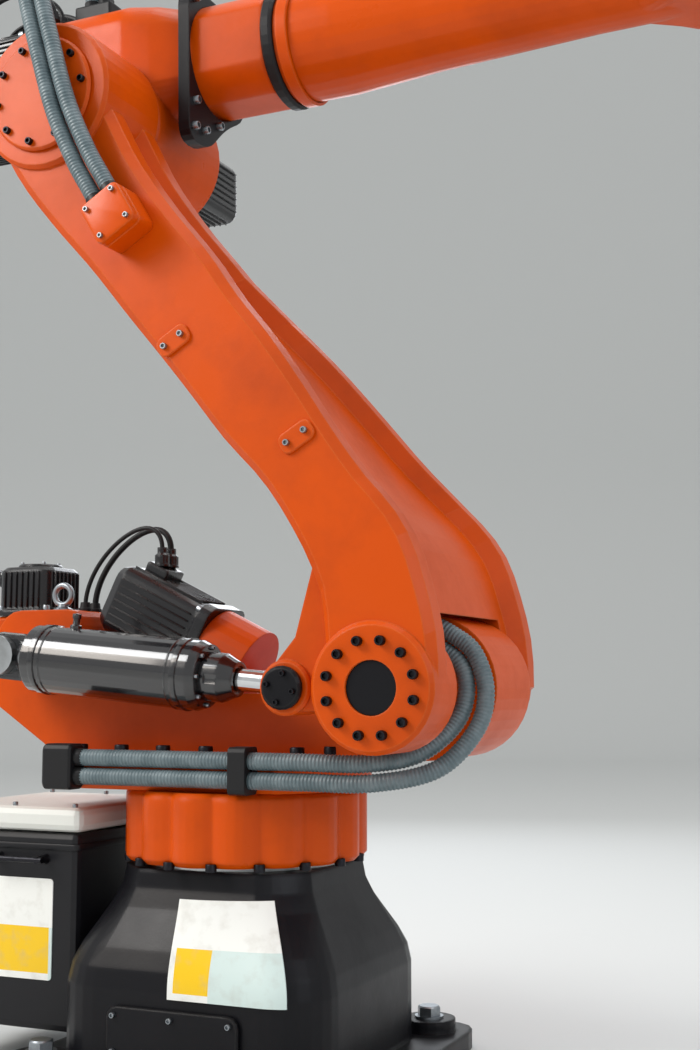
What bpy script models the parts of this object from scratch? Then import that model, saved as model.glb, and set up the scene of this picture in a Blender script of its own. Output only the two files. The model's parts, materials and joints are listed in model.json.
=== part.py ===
"""A heavy six-axis industrial robot arm, in metres, +Z up and +X towards the front of the arm.

The origin is on the turning axis of the column, at the underside of the foot. The arm leans back and its
forearm lies level. Each moving part hangs from an empty that stands on its joint's axis.
"""

import math

import bmesh
import bpy
import numpy as np
from mathutils import Matrix, Vector

# Driving dimensions
SHOULDER_X = 0.345
SHOULDER_Z = 0.625
LINK_LENGTH = 1.150
FOREARM_RISE = 0.130
WRIST_REACH = 1.200
FLANGE_REACH = 0.215
LINK_LEAN = math.radians(31.0)
ARM_TILT = math.radians(1.0)

# Clearances
SEAT_GAP = 0.0003
RUNNING_GAP = 0.0005
MOVING_GAP = 0.006
OVERRUN = 0.010
WELD_DISTANCE = 0.000001
HUB_CHAMFER = 0.006
EDGE_CHAMFER = 0.004
SHARP_ANGLE = math.radians(35.0)

# Where the parts lie across the arm: the near side is towards -Y
LINK_NEAR_Y = -0.270
LINK_FAR_Y = 0.235
NEAR_CHEEK_WIDTH = 0.095
FAR_CHEEK_WIDTH = 0.095
ARM_NEAR_Y = -0.104
ROD_LANE_WIDTH = 0.058

# Roundness of turned forms
FINE_SIDES = 40
ROUND_SIDES = 32
SMALL_SIDES = 20

ORANGE = ((0.78, 0.17, 0.02), 0.38, 0.0)
BLACK = ((0.012, 0.012, 0.016), 0.35, 0.0)
CAST_BLACK = ((0.018, 0.018, 0.020), 0.50, 0.0)
CREAM = ((0.70, 0.72, 0.66), 0.40, 0.0)
STEEL = ((0.45, 0.46, 0.47), 0.28, 1.0)
HOSE_GREY = ((0.16, 0.19, 0.21), 0.55, 0.0)


def paint(name, finish):
    """A plain material with a colour, a roughness and a metallic value."""
    colour, roughness, metallic = finish
    material = bpy.data.materials.new(name)
    material.use_nodes = True
    shader = material.node_tree.nodes["Principled BSDF"]
    shader.inputs["Base Color"].default_value = (*colour, 1.0)
    shader.inputs["Roughness"].default_value = roughness
    shader.inputs["Metallic"].default_value = metallic
    return material


def solid_from(name, points, faces):
    """A mesh object from points and faces, with its faces turned outwards."""
    mesh = bpy.data.meshes.new(name)
    mesh.from_pydata([tuple(point) for point in points], [], faces)
    work = bmesh.new()
    work.from_mesh(mesh)
    bmesh.ops.recalc_face_normals(work, faces=work.faces)
    work.to_mesh(mesh)
    work.free()
    piece = bpy.data.objects.new(name, mesh)
    bpy.context.scene.collection.objects.link(piece)
    return piece


def loft(name, sections):
    """A closed skin over sections that have the same number of points, with flat ends."""
    count = len(sections[0])
    points = [point for section in sections for point in section]
    faces = []
    for row in range(len(sections) - 1):
        for i in range(count):
            j = (i + 1) % count
            faces.append((row * count + i, row * count + j, (row + 1) * count + j, (row + 1) * count + i))
    faces.append(tuple(reversed(range(count))))
    faces.append(tuple(range(len(points) - count, len(points))))
    return solid_from(name, points, faces)


def place(flat, plane, level):
    """A point of an outline set in space at a level across its plane."""
    a, b = flat
    if plane == "XY":
        return (a, b, level)
    if plane == "XZ":
        return (a, level, b)
    return (level, a, b)


def prism(name, outline, plane, start, end, chamfer=0.0):
    """An outline swept across its plane, with a chamfer round both ends where one is given."""
    centre = np.mean(outline, axis=0)
    inner = [shrunk(point, centre, chamfer) for point in outline]
    if chamfer == 0.0:
        return loft(name, [[place(p, plane, level) for p in outline] for level in (start, end)])
    levels = ((inner, start), (outline, start + chamfer), (outline, end - chamfer), (inner, end))
    return loft(name, [[place(p, plane, level) for p in flat] for flat, level in levels])


def shrunk(point, centre, step):
    """A point of an outline moved towards its centre by a step."""
    away = np.subtract(point, centre)
    reach = np.linalg.norm(away)
    return tuple(centre + away * max(reach - step, 0.0) / max(reach, step))


def circle(radius, sides, centre=(0.0, 0.0)):
    turns = np.arange(sides) * math.tau / sides
    return [(centre[0] + radius * math.cos(t), centre[1] + radius * math.sin(t)) for t in turns]


def rounded_rectangle(low, high, radius, steps=4):
    """The outline of a rectangle between two corners with rounded corners, anticlockwise."""
    corners = (
        (high[0] - radius, high[1] - radius, 0),
        (low[0] + radius, high[1] - radius, 1),
        (low[0] + radius, low[1] + radius, 2),
        (high[0] - radius, low[1] + radius, 3),
    )
    outline = []
    for x, y, quarter in corners:
        for step in range(steps + 1):
            turn = (quarter + step / steps) * math.pi / 2
            outline.append((x + radius * math.cos(turn), y + radius * math.sin(turn)))
    return outline


def filleted(corners, radius, steps=3):
    """An outline with each of its corners rounded, limited by the length of its sides."""
    outline = []
    count = len(corners)
    for i in range(count):
        here = np.array(corners[i], float)
        back = np.array(corners[i - 1], float) - here
        ahead = np.array(corners[(i + 1) % count], float) - here
        cut = min(radius, 0.45 * np.linalg.norm(back), 0.45 * np.linalg.norm(ahead))
        first = here + back / np.linalg.norm(back) * cut
        last = here + ahead / np.linalg.norm(ahead) * cut
        for step in range(steps + 1):
            t = step / steps
            outline.append(tuple((1 - t) ** 2 * first + 2 * t * (1 - t) * here + t**2 * last))
    return outline


def turned(name, profile, axis, centre, sides):
    """A solid of revolution from (radius, along) pairs about an axis through a centre.

    A profile that begins and ends at radius zero is a full solid, and any other is a ring.
    """
    work = bmesh.new()
    corners = [work.verts.new((radius, 0.0, along)) for radius, along in profile]
    pairs = list(zip(corners, corners[1:]))
    if profile[0][0] > 0.0:
        pairs.append((corners[-1], corners[0]))
    edges = [work.edges.new(pair) for pair in pairs]
    bmesh.ops.spin(
        work, geom=corners + edges, cent=(0, 0, 0), axis=(0, 0, 1), angle=math.tau, steps=sides, use_merge=True
    )
    bmesh.ops.remove_doubles(work, verts=work.verts, dist=WELD_DISTANCE)
    bmesh.ops.recalc_face_normals(work, faces=work.faces)
    turn = {"X": Matrix.Rotation(math.pi / 2, 4, "Y"), "Y": Matrix.Rotation(-math.pi / 2, 4, "X")}
    work.transform(Matrix.Translation(centre) @ turn.get(axis, Matrix.Identity(4)))
    mesh = bpy.data.meshes.new(name)
    work.to_mesh(mesh)
    work.free()
    piece = bpy.data.objects.new(name, mesh)
    bpy.context.scene.collection.objects.link(piece)
    return piece


def disc(name, radius, start, end, axis, centre, sides, chamfer=0.0):
    """A short cylinder from start to end along its axis, with chamfered rims where a chamfer is given."""
    profile = [(0.0, start), (radius - chamfer, start)]
    if chamfer > 0.0:
        profile += [(radius, start + chamfer), (radius, end - chamfer)]
        profile += [(radius - chamfer, end)]
    else:
        profile += [(radius, end)]
    return turned(name, profile + [(0.0, end)], axis, centre, sides)


def block(name, low, high, bevel=0.0):
    """A rectangular block between two corners, with its edges rounded where a bevel is given."""
    work = bmesh.new()
    bmesh.ops.create_cube(work, size=1.0)
    size = np.subtract(high, low)
    middle = np.add(high, low) / 2
    work.transform(Matrix.Translation(middle) @ Matrix.Diagonal((*size, 1.0)))
    if bevel > 0.0:
        bmesh.ops.bevel(work, geom=work.edges[:], offset=bevel, segments=2, profile=0.5, affect="EDGES")
    mesh = bpy.data.meshes.new(name)
    work.to_mesh(mesh)
    work.free()
    piece = bpy.data.objects.new(name, mesh)
    bpy.context.scene.collection.objects.link(piece)
    return piece


def moved(piece, matrix):
    piece.data.transform(matrix)
    return piece


def combined(piece, tools, operation):
    """The piece joined with, or cut by, each of the tools, which are used up."""
    for tool in tools:
        step = piece.modifiers.new(operation.title(), "BOOLEAN")
        step.operation = operation
        step.solver = "EXACT"
        step.object = tool
        graph = bpy.context.evaluated_depsgraph_get()
        mesh = bpy.data.meshes.new_from_object(piece.evaluated_get(graph))
        piece.modifiers.clear()
        piece.data = mesh
        bpy.data.objects.remove(tool)
    return piece


def joined(piece, *tools):
    return combined(piece, tools, "UNION")


def cut(piece, *tools):
    return combined(piece, tools, "DIFFERENCE")


def finished(piece, name, finish, body):
    """Gives a piece its name, its paint, its smooth round faces and the body that it moves with."""
    piece.name = name
    piece.data.name = name
    piece.data.materials.clear()
    piece.data.materials.append(paint(name, finish))
    piece.data.shade_smooth()
    piece.data.set_sharp_from_angle(angle=SHARP_ANGLE)
    piece.parent = body
    return piece


def joint_empty(name, parent, place_at, turn_y=0.0):
    """An empty on a joint's axis, which the parts of its body hang from."""
    empty = bpy.data.objects.new(name, None)
    bpy.context.scene.collection.objects.link(empty)
    empty.parent = parent
    empty.location = place_at
    empty.rotation_euler = (0.0, turn_y, 0.0)
    return empty


def smooth_route(points, count):
    """Points evenly spread along one smooth curve through the route's own points."""
    route = np.array(points, float)
    padded = np.vstack([2 * route[0] - route[1], route, 2 * route[-1] - route[-2]])
    fine = []
    for i in range(len(route) - 1):
        a, b, c, d = padded[i : i + 4]
        for t in np.linspace(0.0, 1.0, 16, endpoint=False):
            square, cube = t * t, t * t * t
            bend = (2 * a - 5 * b + 4 * c - d) * square + (3 * b - a - 3 * c + d) * cube
            fine.append(0.5 * (2 * b + (c - a) * t + bend))
    fine.append(route[-1])
    fine = np.array(fine)
    lengths = np.concatenate([[0.0], np.cumsum(np.linalg.norm(np.diff(fine, axis=0), axis=1))])
    even = np.linspace(0.0, lengths[-1], count)
    return np.stack([np.interp(even, lengths, fine[:, axis]) for axis in range(3)], axis=1)


def hose(name, points, count, body):
    """A round hose along a smooth route, with closed ends."""
    curve = bpy.data.curves.new(name, "CURVE")
    curve.dimensions = "3D"
    curve.bevel_depth = HOSE_RADIUS
    curve.bevel_resolution = 2
    curve.use_fill_caps = True
    spline = curve.splines.new("POLY")
    route = smooth_route(points, count)
    spline.points.add(len(route) - 1)
    for point, at in zip(spline.points, route):
        point.co = (*at, 1.0)
    curve.materials.append(paint(name, HOSE_GREY))
    piece = bpy.data.objects.new(name, curve)
    bpy.context.scene.collection.objects.link(piece)
    piece.parent = body
    return piece


def turned_back(point, lean):
    """A point near the shoulder turned about the Y axis, as the link arm is."""
    x, y, z = point
    return (x * math.cos(lean) - z * math.sin(lean), y, x * math.sin(lean) + z * math.cos(lean))


for old in list(bpy.data.objects):
    bpy.data.objects.remove(old)

# Where each joint stands
column = joint_empty("column_axis", None, (0.0, 0.0, 0.0))
shoulder = joint_empty("shoulder_axis", column, (SHOULDER_X, 0.0, SHOULDER_Z), -LINK_LEAN)
elbow = joint_empty("elbow_axis", shoulder, (0.0, 0.0, LINK_LENGTH), LINK_LEAN - ARM_TILT)
roll = joint_empty("forearm_axis", elbow, (0.0, 0.0, FOREARM_RISE))
wrist = joint_empty("wrist_axis", roll, (WRIST_REACH, 0.0, 0.0))
flange = joint_empty("flange_axis", wrist, (0.0, 0.0, 0.0))

# The base: a black casting on a square foot with bolt pads and ribs
FOOT_SIDE = 0.620
FOOT_THICKNESS = 0.032
FOOT_CORNER_CUT = 0.070
BASE_HEIGHT = 0.336
PEDESTAL_SIDE = 0.470
PEDESTAL_CORNER = 0.090
PEDESTAL_STRAIGHT = 0.160
PEDESTAL_TOP_RADIUS = 0.198
PAD_RADIUS = 0.046
PAD_HEIGHT = 0.020
PAD_FROM_EDGE = 0.072
RIB_THICKNESS = 0.030
RIB_HEIGHT = 0.150
COVER_WIDTH = 0.230
COVER_HEIGHT = 0.080
COVER_THICKNESS = 0.010
COVER_CORNER = 0.018

half_foot = FOOT_SIDE / 2
half_pedestal = PEDESTAL_SIDE / 2
foot_outline = filleted(
    [(-half_foot, -half_foot), (half_foot, -half_foot), (half_foot, half_foot), (-half_foot, half_foot)],
    FOOT_CORNER_CUT,
    4,
)
base_frame = prism("base_frame", foot_outline, "XY", 0.0, FOOT_THICKNESS)
square = rounded_rectangle((-half_pedestal, -half_pedestal), (half_pedestal, half_pedestal), PEDESTAL_CORNER, 7)
# The pedestal changes from the rounded square to a circle on its way up
pedestal_levels = []
TAPER_STEPS = 6
for step in range(TAPER_STEPS + 1):
    share = step / TAPER_STEPS
    blend = share * share * (3 - 2 * share)
    height = PEDESTAL_STRAIGHT + (BASE_HEIGHT - PEDESTAL_STRAIGHT) * share
    level = []
    for x, y in square:
        reach = math.hypot(x, y)
        scale = 1 - blend + blend * PEDESTAL_TOP_RADIUS / reach
        level.append((x * scale, y * scale, height))
    pedestal_levels.append(level)
foot_level = [(x, y, FOOT_THICKNESS / 2) for x, y in square]
pedestal = loft("pedestal", [foot_level] + pedestal_levels)
pads = []
ribs = []
pad_reach = half_foot - PAD_FROM_EDGE
for quarter in range(4):
    turn = Matrix.Rotation(quarter * math.pi / 2, 4, "Z")
    pad_at = (pad_reach, pad_reach, 0.0)
    pad = disc("pad", PAD_RADIUS, FOOT_THICKNESS / 2, FOOT_THICKNESS + PAD_HEIGHT, "Z", pad_at, SMALL_SIDES)
    pads.append(moved(pad, turn))
    rib_outline = [
        (PEDESTAL_TOP_RADIUS / 2, FOOT_THICKNESS / 2),
        (pad_reach * math.sqrt(2) - PAD_RADIUS, FOOT_THICKNESS / 2),
        (pad_reach * math.sqrt(2) - PAD_RADIUS, FOOT_THICKNESS + PAD_HEIGHT),
        (PEDESTAL_TOP_RADIUS, FOOT_THICKNESS + RIB_HEIGHT),
        (PEDESTAL_TOP_RADIUS / 2, FOOT_THICKNESS + RIB_HEIGHT),
    ]
    rib = prism("rib", rib_outline, "XZ", -RIB_THICKNESS / 2, RIB_THICKNESS / 2)
    ribs.append(moved(rib, turn @ Matrix.Rotation(math.pi / 4, 4, "Z")))
cover_low = FOOT_THICKNESS + (PEDESTAL_STRAIGHT - FOOT_THICKNESS - COVER_HEIGHT) / 2
cover_outline = rounded_rectangle(
    (-COVER_WIDTH / 2, cover_low), (COVER_WIDTH / 2, cover_low + COVER_HEIGHT), COVER_CORNER, 3
)
cover_back = half_pedestal + SEAT_GAP
cover_front = cover_back + COVER_THICKNESS
cover_sides = (("side_cover_near", -cover_front, -cover_back), ("side_cover_far", cover_back, cover_front))
for name, start, end in cover_sides:
    cover = prism("cover", cover_outline, "XZ", start, end, COVER_THICKNESS / 4)
    finished(cover, name, BLACK, None)
finished(joined(base_frame, pedestal, *pads, *ribs), "base_frame", CAST_BLACK, None)

# The slewing bearing's ring, on top of the base
SLEW_BOTTOM = 0.344
SLEW_HEIGHT = 0.115
BEARING_OUTER = 0.165
BEARING_INNER = 0.120

bearing_bottom = BASE_HEIGHT + SEAT_GAP
bearing_top = SLEW_BOTTOM - RUNNING_GAP
bearing_profile = [
    (BEARING_INNER, bearing_top),
    (BEARING_OUTER, bearing_top),
    (BEARING_OUTER, bearing_bottom),
    (BEARING_INNER, bearing_bottom),
]
finished(turned("ring", bearing_profile, "Z", (0, 0, 0), ROUND_SIDES), "slewing_bearing", STEEL, None)

# The junction box behind the base, its pale lid and the panel that cables plug into
BOX_LENGTH = 0.270
BOX_WIDTH = 0.300
BOX_BOTTOM = 0.060
BOX_TOP = 0.385
BOX_BEVEL = 0.012
LID_HEIGHT = 0.040
LID_OVERHANG = 0.008
PANEL_THICKNESS = 0.012
PANEL_MARGIN = 0.025
SOCKET_RADIUS = 0.024
SOCKET_LENGTH = 0.034
SOCKET_PITCH = 0.082
SOCKET_SPREAD = 0.098

box_front = -half_pedestal - SEAT_GAP
box_back = box_front - BOX_LENGTH
box_low = (box_back, -BOX_WIDTH / 2, BOX_BOTTOM)
box_high = (box_front, BOX_WIDTH / 2, BOX_TOP)
junction_box = block("box", box_low, box_high, BOX_BEVEL)
finished(junction_box, "junction_box", CAST_BLACK, None)
lid_bottom = BOX_TOP + SEAT_GAP
lid = block(
    "lid",
    (box_back - LID_OVERHANG, -BOX_WIDTH / 2 - LID_OVERHANG, lid_bottom),
    (box_front + LID_OVERHANG, BOX_WIDTH / 2 + LID_OVERHANG, lid_bottom + LID_HEIGHT),
    BOX_BEVEL,
)
finished(lid, "junction_lid", CREAM, None)
panel_front = box_back - SEAT_GAP
panel_back = panel_front - PANEL_THICKNESS
panel_outline = rounded_rectangle(
    (-BOX_WIDTH / 2 + PANEL_MARGIN, BOX_BOTTOM + PANEL_MARGIN),
    (BOX_WIDTH / 2 - PANEL_MARGIN, BOX_TOP - PANEL_MARGIN),
    BOX_BEVEL,
    3,
)
panel = prism("panel", panel_outline, "YZ", panel_back, panel_front)
sockets = []
box_middle = (BOX_BOTTOM + BOX_TOP) / 2
socket_start = panel_back - SOCKET_LENGTH
socket_end = panel_front - PANEL_THICKNESS / 2
for row in (-1, 0, 1):
    for side in (-1, 1):
        at = (0.0, side * SOCKET_SPREAD / 2, box_middle + row * SOCKET_PITCH)
        sockets.append(disc("socket", SOCKET_RADIUS, socket_start, socket_end, "X", at, SMALL_SIDES))
finished(joined(panel, *sockets), "connector_panel", BLACK, None)

# The slew flange: a thick ring with a scallop at each bolt
FLANGE_RADIUS = 0.204
FLANGE_CHAMFER = 0.008
SCALLOP_DEPTH = 0.012
SCALLOPS = 16
SCALLOP_POINTS = 6

slew_top = SLEW_BOTTOM + SLEW_HEIGHT


def scalloped(radius):
    """A circle whose edge dips between evenly spaced lobes."""
    turns = np.arange(SCALLOPS * SCALLOP_POINTS) * math.tau / (SCALLOPS * SCALLOP_POINTS)
    reach = radius - SCALLOP_DEPTH * (1 - np.abs(np.cos(turns * SCALLOPS / 2)))
    return list(zip(reach * np.cos(turns), reach * np.sin(turns)))


flange_levels = (
    (FLANGE_RADIUS - FLANGE_CHAMFER, SLEW_BOTTOM),
    (FLANGE_RADIUS, SLEW_BOTTOM + FLANGE_CHAMFER),
    (FLANGE_RADIUS, slew_top - FLANGE_CHAMFER),
    (FLANGE_RADIUS - FLANGE_CHAMFER, slew_top),
)
slew_flange = loft("ring", [[(x, y, level) for x, y in scalloped(radius)] for radius, level in flange_levels])
finished(slew_flange, "slew_flange", ORANGE, column)

# The column casting: a floor over the flange, a wall that runs forward to the shoulder drum, and motor seats
FLOOR_BOTTOM = slew_top + SEAT_GAP
FLOOR_HEIGHT = 0.055
FLOOR_FRONT_RADIUS = 0.212
FLOOR_REAR_X = -0.330
FLOOR_HALF_WIDTH = 0.165
FLOOR_REAR_CORNER = 0.050
FLOOR_ARC_POINTS = 15
WALL_NEAR_Y = -0.060
WALL_TOP_Z = 0.615
WALL_FRONT_X = 0.115
WALL_SLOPE_X = -0.110
WALL_CORNER = 0.030
TOWER_REAR_X = -0.455
TOWER_HEEL_X = -0.530
TOWER_FRONT_X = -0.300
TOWER_TOP_Z = 0.762
TOWER_FOOT_Z = 0.700
TOWER_REAR_Z = 0.630
TOWER_HEEL_Z = 0.500
SEAT_FRONT_X = -0.450
SEAT_REAR_X = -0.620
SEAT_NEAR_Y = 0.103
SEAT_FAR_Y = 0.233
SEAT_DEPTH = 0.055
DRUM_RADIUS = 0.115
DRUM_NEAR_Y = -0.045
STUB_RADIUS = 0.050
FAR_STUB_RADIUS = 0.070

floor_top = FLOOR_BOTTOM + FLOOR_HEIGHT
drum_far_y = LINK_FAR_Y - FAR_CHEEK_WIDTH - MOVING_GAP
cheek_inner_y = LINK_NEAR_Y + NEAR_CHEEK_WIDTH
arc_end = math.asin(FLOOR_HALF_WIDTH / FLOOR_FRONT_RADIUS)
front_arc = [
    (FLOOR_FRONT_RADIUS * math.cos(turn), FLOOR_FRONT_RADIUS * math.sin(turn))
    for turn in np.linspace(-arc_end, arc_end, FLOOR_ARC_POINTS)
]
floor_outline = front_arc + [
    (FLOOR_REAR_X + FLOOR_REAR_CORNER, FLOOR_HALF_WIDTH),
    (FLOOR_REAR_X, FLOOR_HALF_WIDTH - FLOOR_REAR_CORNER),
    (FLOOR_REAR_X, -FLOOR_HALF_WIDTH + FLOOR_REAR_CORNER),
    (FLOOR_REAR_X + FLOOR_REAR_CORNER, -FLOOR_HALF_WIDTH),
]
column_casting = prism("floor", floor_outline, "XY", FLOOR_BOTTOM, floor_top, FLANGE_CHAMFER)
wall_bottom = FLOOR_BOTTOM + FLOOR_HEIGHT / 2
wall_outline = filleted(
    [
        (FLOOR_REAR_X + FLANGE_CHAMFER, wall_bottom),
        (FLOOR_FRONT_RADIUS - FLANGE_CHAMFER, wall_bottom),
        (SHOULDER_X - DRUM_RADIUS * 0.3, SHOULDER_Z - DRUM_RADIUS * 0.9),
        (SHOULDER_X, SHOULDER_Z),
        (SHOULDER_X - DRUM_RADIUS * 0.5, SHOULDER_Z + DRUM_RADIUS * 0.8),
        (WALL_FRONT_X, WALL_TOP_Z),
        (WALL_SLOPE_X, WALL_TOP_Z),
        (TOWER_FRONT_X, TOWER_FOOT_Z),
        (TOWER_FRONT_X, TOWER_TOP_Z),
        (TOWER_REAR_X, TOWER_TOP_Z),
        (TOWER_HEEL_X, TOWER_REAR_Z),
        (FLOOR_REAR_X, TOWER_HEEL_Z),
    ],
    WALL_CORNER,
)
wall = prism("wall", wall_outline, "XZ", WALL_NEAR_Y, drum_far_y)
# The slewing motor's seat stands out on the far side, clear of the forearm when that swings over backwards
seat_outline = filleted(
    [
        (SEAT_FRONT_X, TOWER_TOP_Z),
        (SEAT_REAR_X, TOWER_TOP_Z),
        (SEAT_REAR_X, TOWER_TOP_Z - SEAT_DEPTH),
        (TOWER_HEEL_X, TOWER_REAR_Z - SEAT_DEPTH / 2),
        (SEAT_FRONT_X, TOWER_REAR_Z - SEAT_DEPTH),
    ],
    WALL_CORNER,
)
motor_seat = prism("seat", seat_outline, "XZ", SEAT_NEAR_Y, SEAT_FAR_Y, FLANGE_CHAMFER)
shoulder_at = (SHOULDER_X, 0.0, SHOULDER_Z)
near_stub_y = cheek_inner_y + RUNNING_GAP
far_stub_y = drum_far_y + MOVING_GAP - RUNNING_GAP
drum = disc("drum", DRUM_RADIUS, DRUM_NEAR_Y, drum_far_y, "Y", shoulder_at, FINE_SIDES)
near_stub = disc("stub", STUB_RADIUS, near_stub_y, 0.0, "Y", shoulder_at, ROUND_SIDES)
far_stub = disc("stub", FAR_STUB_RADIUS, 0.0, far_stub_y, "Y", shoulder_at, ROUND_SIDES)

# The shoulder motor lies on a slope, its front end low, in a neck of the casting
MOTOR_SLOPE = math.radians(26.0)
NECK_RADIUS = 0.066
NECK_LENGTH = 0.090
NECK_X = -0.075
NECK_Y = 0.020
NECK_Z = 0.698

neck = disc("neck", NECK_RADIUS, 0.0, NECK_LENGTH, "X", (0.0, 0.0, 0.0), ROUND_SIDES)
to_neck = Matrix.Translation((NECK_X, NECK_Y, NECK_Z)) @ Matrix.Rotation(MOTOR_SLOPE, 4, "Y")
moved(neck, to_neck)

# The counterbalance turns on a pin that stands out of a boss on the near side of the wall
COUNTER_Y = cheek_inner_y + MOVING_GAP + ROD_LANE_WIDTH / 2
COUNTER_PIN_X = -0.390
COUNTER_PIN_Z = 0.680
EYE_WIDTH = 0.046
PIN_RADIUS = 0.022
PIN_BOSS_RADIUS = 0.034
PIN_HEAD_RADIUS = 0.034
PIN_HEAD_WIDTH = 0.016

eye_near_y = COUNTER_Y - EYE_WIDTH / 2
eye_far_y = COUNTER_Y + EYE_WIDTH / 2
boss_near_y = eye_far_y + RUNNING_GAP
pin_centre = (COUNTER_PIN_X, 0.0, COUNTER_PIN_Z)
pin_boss = disc("boss", PIN_BOSS_RADIUS, boss_near_y, 0.0, "Y", pin_centre, ROUND_SIDES)
joined(column_casting, wall, motor_seat, drum, near_stub, far_stub, neck, pin_boss)
finished(column_casting, "column_casting", ORANGE, column)
pin_profile = [
    (0.0, eye_near_y - RUNNING_GAP - PIN_HEAD_WIDTH),
    (PIN_HEAD_RADIUS, eye_near_y - RUNNING_GAP - PIN_HEAD_WIDTH),
    (PIN_HEAD_RADIUS, eye_near_y - RUNNING_GAP),
    (PIN_RADIUS, eye_near_y - RUNNING_GAP),
    (PIN_RADIUS, boss_near_y - SEAT_GAP),
    (0.0, boss_near_y - SEAT_GAP),
]
finished(turned("pin", pin_profile, "Y", pin_centre, SMALL_SIDES), "counterbalance_pin", STEEL, column)

# The motors: a ribbed square body, a round front and a plug box, all black
SLEW_MOTOR_SIDE = 0.130
SLEW_MOTOR_LENGTH = 0.095
SLEW_MOTOR_X = -0.550
SHOULDER_MOTOR_SIDE = 0.136
SHOULDER_MOTOR_LENGTH = 0.205
motor_shares = {"corner": 0.19, "flange": 0.10, "body": 0.92, "tail": 0.80}
plug_shares = {"start": 0.62, "half_width": 0.22, "length": 0.34, "height": 0.11, "bevel": 0.03}


def motor(side, length):
    """A motor along +X from the origin, on its square front flange, with its plug box on top near the rear."""
    half = side / 2
    body_share = motor_shares["body"]
    outline = rounded_rectangle((-half, -half), (half, half), side * motor_shares["corner"], 4)
    flange_end = length * motor_shares["flange"]
    body_start = flange_end + (1 - body_share) * half
    small = [(y * body_share, z * body_share) for y, z in outline]
    tail = [(y * motor_shares["tail"], z * motor_shares["tail"]) for y, z in outline]
    body_end = length * body_share
    levels = ((outline, 0.0), (outline, flange_end), (small, body_start), (small, body_end), (tail, length))
    body = loft("motor", [[(x, y, z) for y, z in flat] for flat, x in levels])
    plug_start = length * plug_shares["start"]
    plug_half = side * plug_shares["half_width"]
    plug_end = min(plug_start + side * plug_shares["length"], body_end)
    plug_low = (plug_start, -plug_half, half / 2)
    plug_high = (plug_end, plug_half, half + side * plug_shares["height"])
    return joined(body, block("plug", plug_low, plug_high, side * plug_shares["bevel"]))


upwards = Matrix.Rotation(-math.pi / 2, 4, "Y")
backwards = Matrix.Rotation(math.pi, 4, "Z")
slew_motor = motor(SLEW_MOTOR_SIDE, SLEW_MOTOR_LENGTH)
slew_motor_y = (SEAT_NEAR_Y + SEAT_FAR_Y) / 2
moved(slew_motor, Matrix.Translation((SLEW_MOTOR_X, slew_motor_y, TOWER_TOP_Z + SEAT_GAP)) @ upwards)
finished(slew_motor, "slew_motor", BLACK, column)
shoulder_motor = motor(SHOULDER_MOTOR_SIDE, SHOULDER_MOTOR_LENGTH)
moved(shoulder_motor, to_neck @ Matrix.Translation((-SEAT_GAP, 0.0, 0.0)) @ backwards)
finished(shoulder_motor, "shoulder_motor", BLACK, column)

# The counterbalance cylinder, from its rear eye to its gland, and the rod that slides in it
EAR_RADIUS_FROM_AXIS = 0.150
EAR_BEHIND = math.radians(59.0)
BARREL_RADIUS = 0.0575
BARREL_START = 0.042
BARREL_END = 0.395
GLAND_RADIUS = 0.040
GLAND_LENGTH = 0.055
ROD_RADIUS = 0.018
ROD_INSIDE = 0.405
BORE_BEYOND_ROD = 0.050
EYE_RADIUS = 0.040
ROD_EYE_RADIUS = 0.034

ear_turn = LINK_LEAN + EAR_BEHIND
ear_x = SHOULDER_X - EAR_RADIUS_FROM_AXIS * math.sin(ear_turn)
ear_z = SHOULDER_Z + EAR_RADIUS_FROM_AXIS * math.cos(ear_turn)
counter_length = math.hypot(ear_x - COUNTER_PIN_X, ear_z - COUNTER_PIN_Z)
counter_rise = math.atan2(ear_z - COUNTER_PIN_Z, ear_x - COUNTER_PIN_X)
cylinder = joint_empty("counterbalance_axis", column, (COUNTER_PIN_X, COUNTER_Y, COUNTER_PIN_Z), -counter_rise)
rod_slide = joint_empty("rod_axis", cylinder, (0.0, 0.0, 0.0))

bore_radius = ROD_RADIUS + RUNNING_GAP
rod_start = counter_length - ROD_INSIDE
barrel_profile = [
    (0.0, BARREL_START),
    (BARREL_RADIUS * 0.70, BARREL_START),
    (BARREL_RADIUS, BARREL_START + BARREL_RADIUS * 0.35),
    (BARREL_RADIUS, BARREL_END - BARREL_RADIUS * 0.25),
    (BARREL_RADIUS * 0.90, BARREL_END),
    (bore_radius, BARREL_END),
    (bore_radius, rod_start - BORE_BEYOND_ROD),
    (0.0, rod_start - BORE_BEYOND_ROD),
]
barrel = turned("barrel", barrel_profile, "X", (0, 0, 0), ROUND_SIDES)
eye_end = BARREL_START + BARREL_RADIUS * 0.3
eye_rear = circle(EYE_RADIUS, SMALL_SIDES)[SMALL_SIDES // 4 : SMALL_SIDES * 3 // 4 + 1]
eye_outline = eye_rear + [(eye_end, -EYE_RADIUS), (eye_end, EYE_RADIUS)]
rear_eye = prism("eye", eye_outline, "XZ", -EYE_WIDTH / 2, EYE_WIDTH / 2)
eye_bore = disc("bore", PIN_RADIUS + RUNNING_GAP, -EYE_WIDTH, EYE_WIDTH, "Y", (0, 0, 0), SMALL_SIDES)
finished(cut(joined(barrel, rear_eye), eye_bore), "cylinder_barrel", BLACK, cylinder)
gland_start = BARREL_END + SEAT_GAP
gland_profile = [
    (bore_radius, gland_start),
    (bore_radius, gland_start + GLAND_LENGTH),
    (GLAND_RADIUS * 0.75, gland_start + GLAND_LENGTH),
    (GLAND_RADIUS, gland_start + GLAND_LENGTH * 0.6),
    (GLAND_RADIUS, gland_start),
]
finished(turned("gland", gland_profile, "X", (0, 0, 0), ROUND_SIDES), "cylinder_gland", STEEL, cylinder)
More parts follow.
